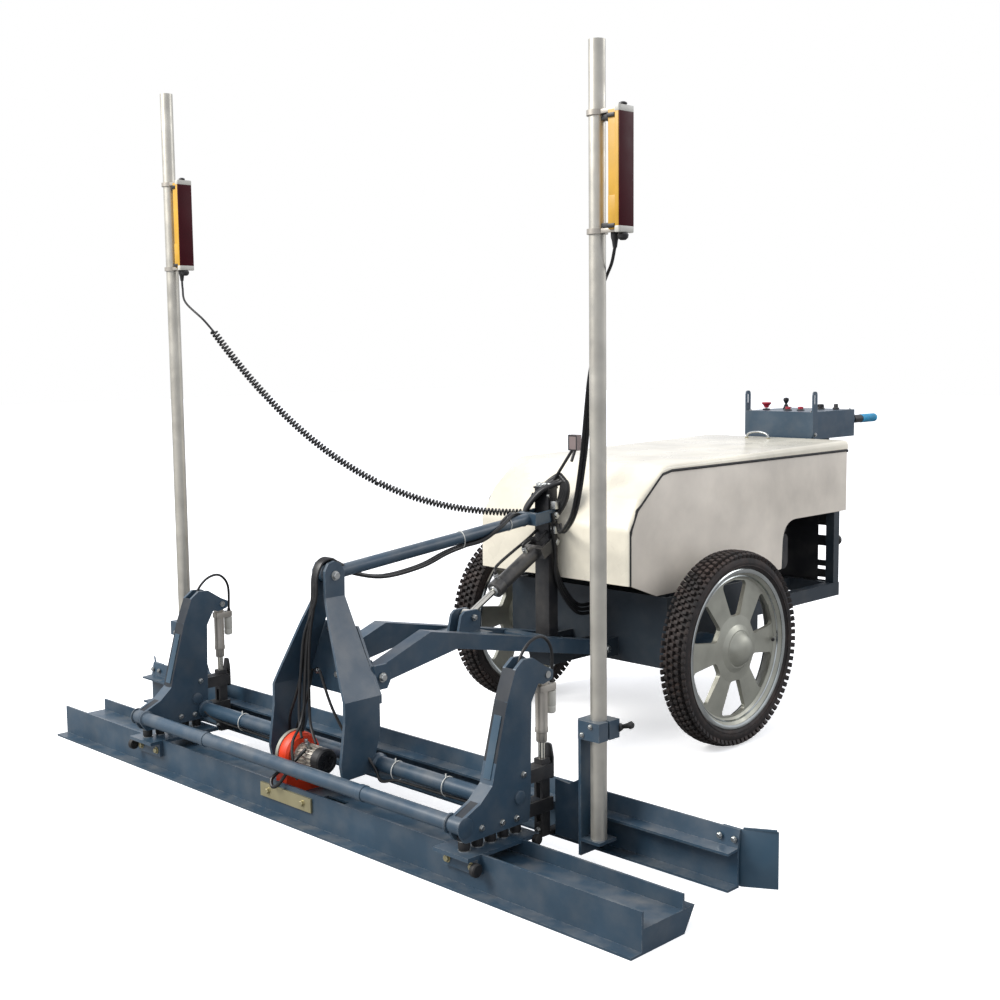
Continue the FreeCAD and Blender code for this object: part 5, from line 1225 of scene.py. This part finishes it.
def panels():
    shape = Shape(BEIGE)
    low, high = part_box("fixed_panels")
    out = high.x
    for sign in (-1, 1):
        near, far = (out - 3 * MM) * sign, out * sign
        shape.plate(side_outline(), "YZ", min(near, far), max(near, far), 1 * MM)
    shape.block((-out + 4 * MM, 2.330, 0.669), (out - 4 * MM, 2.333, 0.835), 1 * MM)
    shape.use(BLACK)
    edge = 0.284
    bars = [(0.400, 0.404), (0.413, 0.444), (0.456, 0.479), (0.534, 0.574), (0.612, 0.669)]
    shape.block((-0.236, 2.318, 0.400), (0.236, 2.321, 0.669), 0.8 * MM)
    for sign in (-1, 1):
        for bottom, top in bars:
            ends = sorted((0.2355 * sign, edge * sign))
            shape.block((ends[0], 2.318, bottom), (ends[1], 2.321, top), 0.8 * MM)
        ends = sorted((0.276 * sign, edge * sign))
        shape.block((ends[0], 2.318, 0.400), (ends[1], 2.321, 0.669), 0.8 * MM)
    shape.use(ZINC)
    for sign in (-1, 1):
        shape.bolt((0.27 * sign, 2.333, 0.820), Y, 8 * MM, 4 * MM)
    shape.done("side_panels", "chassis", "panel_paint", ("fixed_panels",))

    trim = Shape(RUBBER)
    for sign in (-1, 1):
        edge_line = [Vector((out * sign, a, b)) for a, b in side_outline(4 * MM)]
        run = [point for point in edge_line if point.z > 0.70 and point.y < 2.3705 or point.z > 0.88]
        start = Vector((out * sign, 1.091, 0.546))
        path = [start, Vector((out * sign, 1.091, 0.63)), Vector((out * sign, 1.091, 0.70)), *run]
        trim.tube(path, 5.4 * MM, 10)
    trim.done("edge_trims", "chassis", "rubber", ("panel_trims",))


# ---- chassis details -------------------------------------------------------------------------

def engine_details():
    """Cooling fins, the recoil starter's grille and grip, filler caps and battery leads."""
    low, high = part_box("engine")
    shape = Shape(IRON)
    for number in range(9):
        z = 0.452 + number * 20 * MM
        shape.block((-0.092, 1.822, z), (0.096, 1.902, z + 4 * MM), 0.8 * MM)
    centre = Vector((-0.010, high.y, 0.500))
    shape.use(BLACK).lathe([(-2 * MM, 0), (-2 * MM, 84 * MM), (4 * MM, 80 * MM), (9 * MM, 60 * MM), (9 * MM, 0)], centre, Y, 48)
    shape.use(IRON)
    for number in range(16):
        turn = Matrix.Translation(centre) @ Matrix.Rotation(math.tau * number / 16, 4, "Y")
        shape.block((-3 * MM, 6 * MM, 28 * MM), (3 * MM, 9.6 * MM, 62 * MM), 1 * MM, turn)
    shape.use(KNOB).bar(centre + Vector((0.05, 0.012, 0.085)), centre + Vector((0.05, 0.012, 0.125)), 9 * MM)
    shape.use(BLACK).bar((0, 2.030, 0.758), (0, 2.030, 0.782), 34 * MM, 3 * MM)
    shape.use(IRON).block((0.135, 1.945, 0.604), (0.235, 2.110, 0.700), 14 * MM)
    for number in range(6):
        shape.block((0.229, 1.955 + number * 24 * MM, 0.484), (0.234, 1.967 + number * 24 * MM, 0.586), 1 * MM)
    shape.use(TANK).bar((-0.090, 1.580, 0.824), (-0.090, 1.580, 0.846), 33 * MM, 3 * MM)
    for x, colour in ((0.080, RED), (0.222, KNOB)):
        path = [(x, 1.400, 0.704), (x, 1.400, 0.730), (x - 20 * MM, 1.440, 0.742), (x - 40 * MM, 1.560, 0.700),
                (x - 60 * MM, 1.700, 0.600)]
        shape.use(colour).tube(smooth(path), 5 * MM, 10)
    shape.done("engine_details", "chassis", "engine_metal")


def chassis_details():
    """Rear buffers, mast bolts, the socket box's face and a short black bar at it."""
    low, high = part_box("chassis_frame")
    shape = Shape(RUBBER)
    for sign in (-1, 1):
        shape.use(RUBBER).lathe([(0, 0), (0, 17 * MM), (4 * MM, 20 * MM), (14 * MM, 20 * MM), (19 * MM, 14 * MM), (20 * MM, 0)],
                                Vector((0.302 * sign, high.y if high.y < 2.4 else 2.330, 0.558)), Y, 28)
        shape.use(ZINC)
        shape.bolt((0.034 * sign, 1.030, 0.815), X * sign, 9 * MM, 4 * MM)
    case_low, case_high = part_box("socket_box")
    shape.use(KNOB)
    for x in (0.1055, 0.1385):
        shape.block((x - 1.6 * MM, 1.0485, 0.9645), (x + 1.6 * MM, 1.0505, 1.0135), 0.5 * MM)
    for z in (0.966, 1.0115):
        shape.block((0.1055, 1.0485, z - 2 * MM), (0.1385, 1.0505, z + 2 * MM), 0.5 * MM)
    shape.bar((0.126, 1.062, 0.975), (0.126, 1.040, 0.930), 5 * MM)
    shape.done("chassis_fasteners", "chassis", "bright_steel")


# ---- console ---------------------------------------------------------------------------------

def console_controls():
    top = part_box("console_box")[1].z
    deck = 1.032
    bezels = Shape(BLACK)
    for x, y, inner, outer in ((-0.118, 2.492, 10, 15), (-0.008, 2.478, 12, 15.5), (0.036, 2.500, 12, 15.5),
                               (0.040, 2.640, 5.3, 17)):
        bezels.lathe([(0, inner * MM), (0, outer * MM), (3 * MM, outer * MM), (5 * MM, (outer - 1.5) * MM), (5 * MM, inner * MM)],
                     Vector((x, y, deck)), Z, 28)
    bezels.lathe([(0, 0), (0, 13 * MM), (6 * MM, 13 * MM), (9 * MM, 9 * MM), (22 * MM, 8 * MM), (23 * MM, 0)],
                 Vector((0.104, 2.650, deck)), Z, 28)
    bezels.use(ZINC)
    for sign in (-1, 1):
        for y in (2.412, 2.698):
            bezels.bolt((0.138 * sign, y, deck), Z, 7 * MM, 3 * MM)
        bezels.bolt((0.1565 * sign, 2.414, 0.945), X * sign, 11 * MM, 5 * MM)
    bezels.done("control_bezels", "chassis", "black_paint")

    stop = Vector((-0.118, 2.492, deck))
    shape = Shape(RED)
    shape.lathe([(8.8 * MM, 0), (8.8 * MM, 9 * MM), (14 * MM, 9.5 * MM), (20 * MM, 14 * MM), (25 * MM, 19 * MM), (28 * MM, 19.4 * MM),
                 (30.5 * MM, 17 * MM), (31 * MM, 10 * MM), (31 * MM, 0)], stop, Z, 36)
    shape.use(ZINC).bar(stop - Z * 13 * MM, stop + Z * 8 * MM, 4.8 * MM)
    shape.done("stop_mushroom", "e_stop", "button_red", ("e_stop_button",))
    for name, body, x, y in (("start_push", "start_button", -0.008, 2.478), ("stop_push", "stop_button", 0.036, 2.500)):
        spot = Vector((x, y, deck))
        button = Shape(RED)
        button.lathe([(6.2 * MM, 0), (6.2 * MM, 10.5 * MM), (13 * MM, 11 * MM), (15 * MM, 9.5 * MM), (15.6 * MM, 4 * MM), (15.6 * MM, 0)],
                     spot, Z, 32)
        button.use(ZINC).bar(spot - Z * 13 * MM, spot + Z * 7 * MM, 4.8 * MM)
        button.done(name, body, "button_red", (body,))
    knob = Shape(KNOB)
    spot = Vector((0.040, 2.640, deck))
    knob.lathe([(6.2 * MM, 0), (6.2 * MM, 15 * MM), (10 * MM, 15 * MM), (11 * MM, 12.5 * MM), (19 * MM, 11.5 * MM), (20.5 * MM, 9 * MM),
                (20.5 * MM, 0)], spot, Z, 36)
    for number in range(14):
        turn = Matrix.Translation(spot) @ Matrix.Rotation(math.tau * number / 14, 4, "Z")
        knob.block((-1.1 * MM, 11 * MM, 10 * MM), (1.1 * MM, 13.4 * MM, 19 * MM), 0.5 * MM, turn)
    knob.bar(spot - Z * 13 * MM, spot + Z * 7 * MM, 4.8 * MM)
    knob.use(CAP).block(spot + Vector((-0.8, 3, 20.2)) * MM, spot + Vector((0.8, 11, 21)) * MM, 0.2 * MM)
    knob.done("speed_dial", "speed_knob", "knob_black", ("speed_knob",))
    stick = Shape(KNOB)
    foot = Vector((-0.070, 2.560, deck))
    stick.lathe([(-3 * MM, 5 * MM), (-3 * MM, 13 * MM), (1 * MM, 13.5 * MM), (4 * MM, 12 * MM), (6 * MM, 13 * MM), (9 * MM, 10 * MM),
                 (11 * MM, 11 * MM), (14 * MM, 8 * MM), (16 * MM, 9 * MM), (20 * MM, 6 * MM), (20 * MM, 5 * MM)], foot, Z, 28)
    stick.bar(foot - Z * 29 * MM, foot + Z * 34 * MM, 4.9 * MM)
    stick.lathe([(26 * MM, 0), (26 * MM, 6.5 * MM), (33 * MM, 10 * MM), (38 * MM, 11.8 * MM), (44 * MM, 10.5 * MM), (47 * MM, 6 * MM),
                 (48 * MM, 0)], foot, Z, 28)
    stick.bar(foot - Vector((5 * MM, 0, 2 * MM)), foot + Vector((5 * MM, 0, -2 * MM)), 8.8 * MM)
    stick.done("joystick_boot", "joystick", "knob_black", ("joystick",))


def grips():
    low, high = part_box("handle_grips")
    radius = 17 * MM
    shape = Shape(GRIP)
    for sign in (-1, 1):
        x = (high.x - radius) * sign
        start = Vector((x, high.y - 110 * MM, low.z + radius))
        profile = [(0, 12.1 * MM), (0, 16.5 * MM), (3 * MM, 17 * MM), (6 * MM, 17 * MM)]
        for rib in range(13):
            at = 9 + rib * 7
            profile += [(at * MM, 15.2 * MM), ((at + 2) * MM, 16.8 * MM), ((at + 4.5) * MM, 16.8 * MM)]
        profile += [(103 * MM, 16.9 * MM), (108 * MM, 16 * MM), (110 * MM, 12 * MM), (110 * MM, 0), (106.5 * MM, 0),
                    (106.5 * MM, 12.1 * MM)]
        shape.use(GRIP).lathe(profile, start, Y, 36)
        collar = Vector((x, low.y, low.z + radius))
        long = start.y - 2 * MM - low.y
        shape.use(KNOB).lathe([(0, 12.1 * MM), (0, 15.5 * MM), (2 * MM, 16 * MM), (long - 2 * MM, 16 * MM), (long, 15.5 * MM),
                               (long, 12.1 * MM)], collar, Y, 32)
        shape.use(ZINC).bolt(collar + Vector((0, 10 * MM, 15 * MM)), Z, 7 * MM, 3 * MM, washer=False)
    shape.done("ribbed_grips", "chassis", "grip_blue", ("handle_grips",))


def wings():
    """The plow's end wings: swept-back sheets with a turned top band, bolted on at the lap."""
    low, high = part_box("plow_wings")
    t = 6 * MM
    start, back = 1.258, 0.351
    shape = Shape(SLATE)
    for sign in (-1, 1):
        plan = [((start - 52 * MM), back), (start + 2 * MM, back), (high.x, high.y - 4 * MM), (high.x - 4 * MM, high.y),
                (start - 1 * MM, back + t), (start - 52 * MM, back + t)]
        plan = [(x * sign, y) for x, y in plan]
        shape.use(SLATE_LIGHT).plate(plan, "XY", low.z, high.z, 1 * MM)
        shape.use(SLATE_LIGHT)
        band = [(start + 4 * MM, back + 1.5 * MM), (high.x - 3 * MM, high.y - 8 * MM), (high.x - 5 * MM, high.y - 4 * MM),
                (start + 2 * MM, back + 5 * MM)]
        shape.plate([(x * sign, y) for x, y in band], "XY", high.z - 1 * MM, high.z + 5 * MM, 0.5 * MM)
        shape.use(ZINC)
        for across in (1.208, 1.248):
            for z in (0.165,):
                shape.bolt((across * sign, back + t, z), Y, 13 * MM, 6 * MM)
    shape.done("wing_sheets", "plow", "slate_paint", ("plow_wings",))


def handle_and_hinges():
    low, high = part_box("hood_handle")
    shape = Shape(BRASS)
    for x in (low.x + 4 * MM, high.x - 4 * MM):
        shape.lathe([(0, 0), (0, 7 * MM), (2 * MM, 7 * MM), (3 * MM, 4.2 * MM), (3 * MM, 0)], Vector((x, 2.300, 0.9315)), Z, 20)
    shape.done("handle_feet", "hood", "plate_zinc")


# ---- set and camera --------------------------------------------------------------------------

def seen_or_lighting(nodes, links, seen, lighting):
    """One shader for what the camera sees and another for the light that reaches the object."""
    path = nodes.new("ShaderNodeLightPath")
    mixer = nodes.new("ShaderNodeMixShader")
    links.new(path.outputs["Is Camera Ray"], mixer.inputs[0])
    links.new(lighting, mixer.inputs[1])
    links.new(seen, mixer.inputs[2])
    return mixer.outputs[0]


def floor():
    """A pale floor that looks white, and throws only a little light up under the machine."""
    look = Look("pale_floor", (246, 246, 246), 0.9)
    look.bump(60, 0.05 * MM)
    material = look.done()
    nodes, links = material.node_tree.nodes, material.node_tree.links
    look.shader.inputs["Emission Color"].default_value = (1, 1, 1, 1)
    look.shader.inputs["Emission Strength"].default_value = 0.5
    dim = nodes.new("ShaderNodeBsdfDiffuse")
    dim.inputs["Color"].default_value = srgb(150, 150, 150)
    output = nodes["Material Output"]
    links.new(seen_or_lighting(nodes, links, look.shader.outputs[0], dim.outputs[0]), output.inputs["Surface"])
    shape = Shape(material)
    shape.block((-30, -30, -0.02), (30, 30, -0.0005), 0)
    shape.done("pale_floor")


def area_light(name, place, target, size, power, colour=(1, 1, 1)):
    lamp = bpy.data.lights.new(name, "AREA")
    lamp.shape = "DISK"
    lamp.size = size
    lamp.energy = power
    lamp.color = colour
    item = bpy.data.objects.new(name, lamp)
    item.location = place
    item.rotation_euler = (Vector(target) - Vector(place)).to_track_quat("-Z", "Y").to_euler()
    bpy.context.scene.collection.objects.link(item)


def lighting():
    """Soft white studio: a bright world, a large key above and ahead, and a weaker fill at the side."""
    scene = bpy.context.scene
    scene.view_settings.view_transform = "Standard"
    world = bpy.data.worlds.new("studio")
    scene.world = world
    world.use_nodes = True
    nodes, links = world.node_tree.nodes, world.node_tree.links
    seen = nodes["Background"]
    seen.inputs["Color"].default_value = (1, 1, 1, 1)
    around = nodes.new("ShaderNodeBackground")
    around.inputs["Color"].default_value = srgb(244, 247, 255)
    around.inputs["Strength"].default_value = 0.95
    links.new(seen_or_lighting(nodes, links, seen.outputs[0], around.outputs[0]), nodes["World Output"].inputs["Surface"])
    target = (0, 0.9, 0.5)
    area_light("key", (-2.2, -3.6, 4.6), target, 3.0, 420, (1, 0.98, 0.95))
    area_light("rim", (3.5, 5.0, 3.5), target, 3.0, 70)


def camera():
    """A view from ahead of the right-hand end of the pan, at about head height."""
    yaw, pitch, roll = (math.radians(angle) for angle in (44.8, -6.3, -0.6))
    ahead = Vector((-math.sin(yaw) * math.cos(pitch), math.cos(yaw) * math.cos(pitch), math.sin(pitch)))
    level = Vector((math.cos(yaw), math.sin(yaw), 0))
    above = level.cross(ahead)
    right = level * math.cos(roll) + above * math.sin(roll)
    up = above * math.cos(roll) - level * math.sin(roll)
    data = bpy.data.cameras.new("camera")
    data.lens = 49.32
    data.sensor_width = 36
    data.clip_end = 200
    item = bpy.data.objects.new("camera", data)
    turn = Matrix((right, up, -ahead)).transposed().to_4x4()
    item.matrix_world = Matrix.Translation((3.0104, -2.1872, 1.2872)) @ turn
    bpy.context.scene.collection.objects.link(item)
    bpy.context.scene.camera = item


def build():
    random.seed(7)
    dress_cad_nodes()
    for side in ("left", "right"):
        tyre(side)
        wheel_trim(side)
        clamp_lever(side)
    left_cable(receiver("left"))
    right_cable(receiver("right"))
    mast_hoses()
    link_hose()
    head_looms()
    actuator_leads()
    actuators()
    arm_details()
    head_fasteners()
    pan_mounts()
    vibrator()
    plow_details()
    wings()
    linkage_details()
    hood()
    handle_and_hinges()
    panels()
    engine_details()
    chassis_details()
    console_controls()
    grips()
    floor()
    lighting()
    camera()


build()
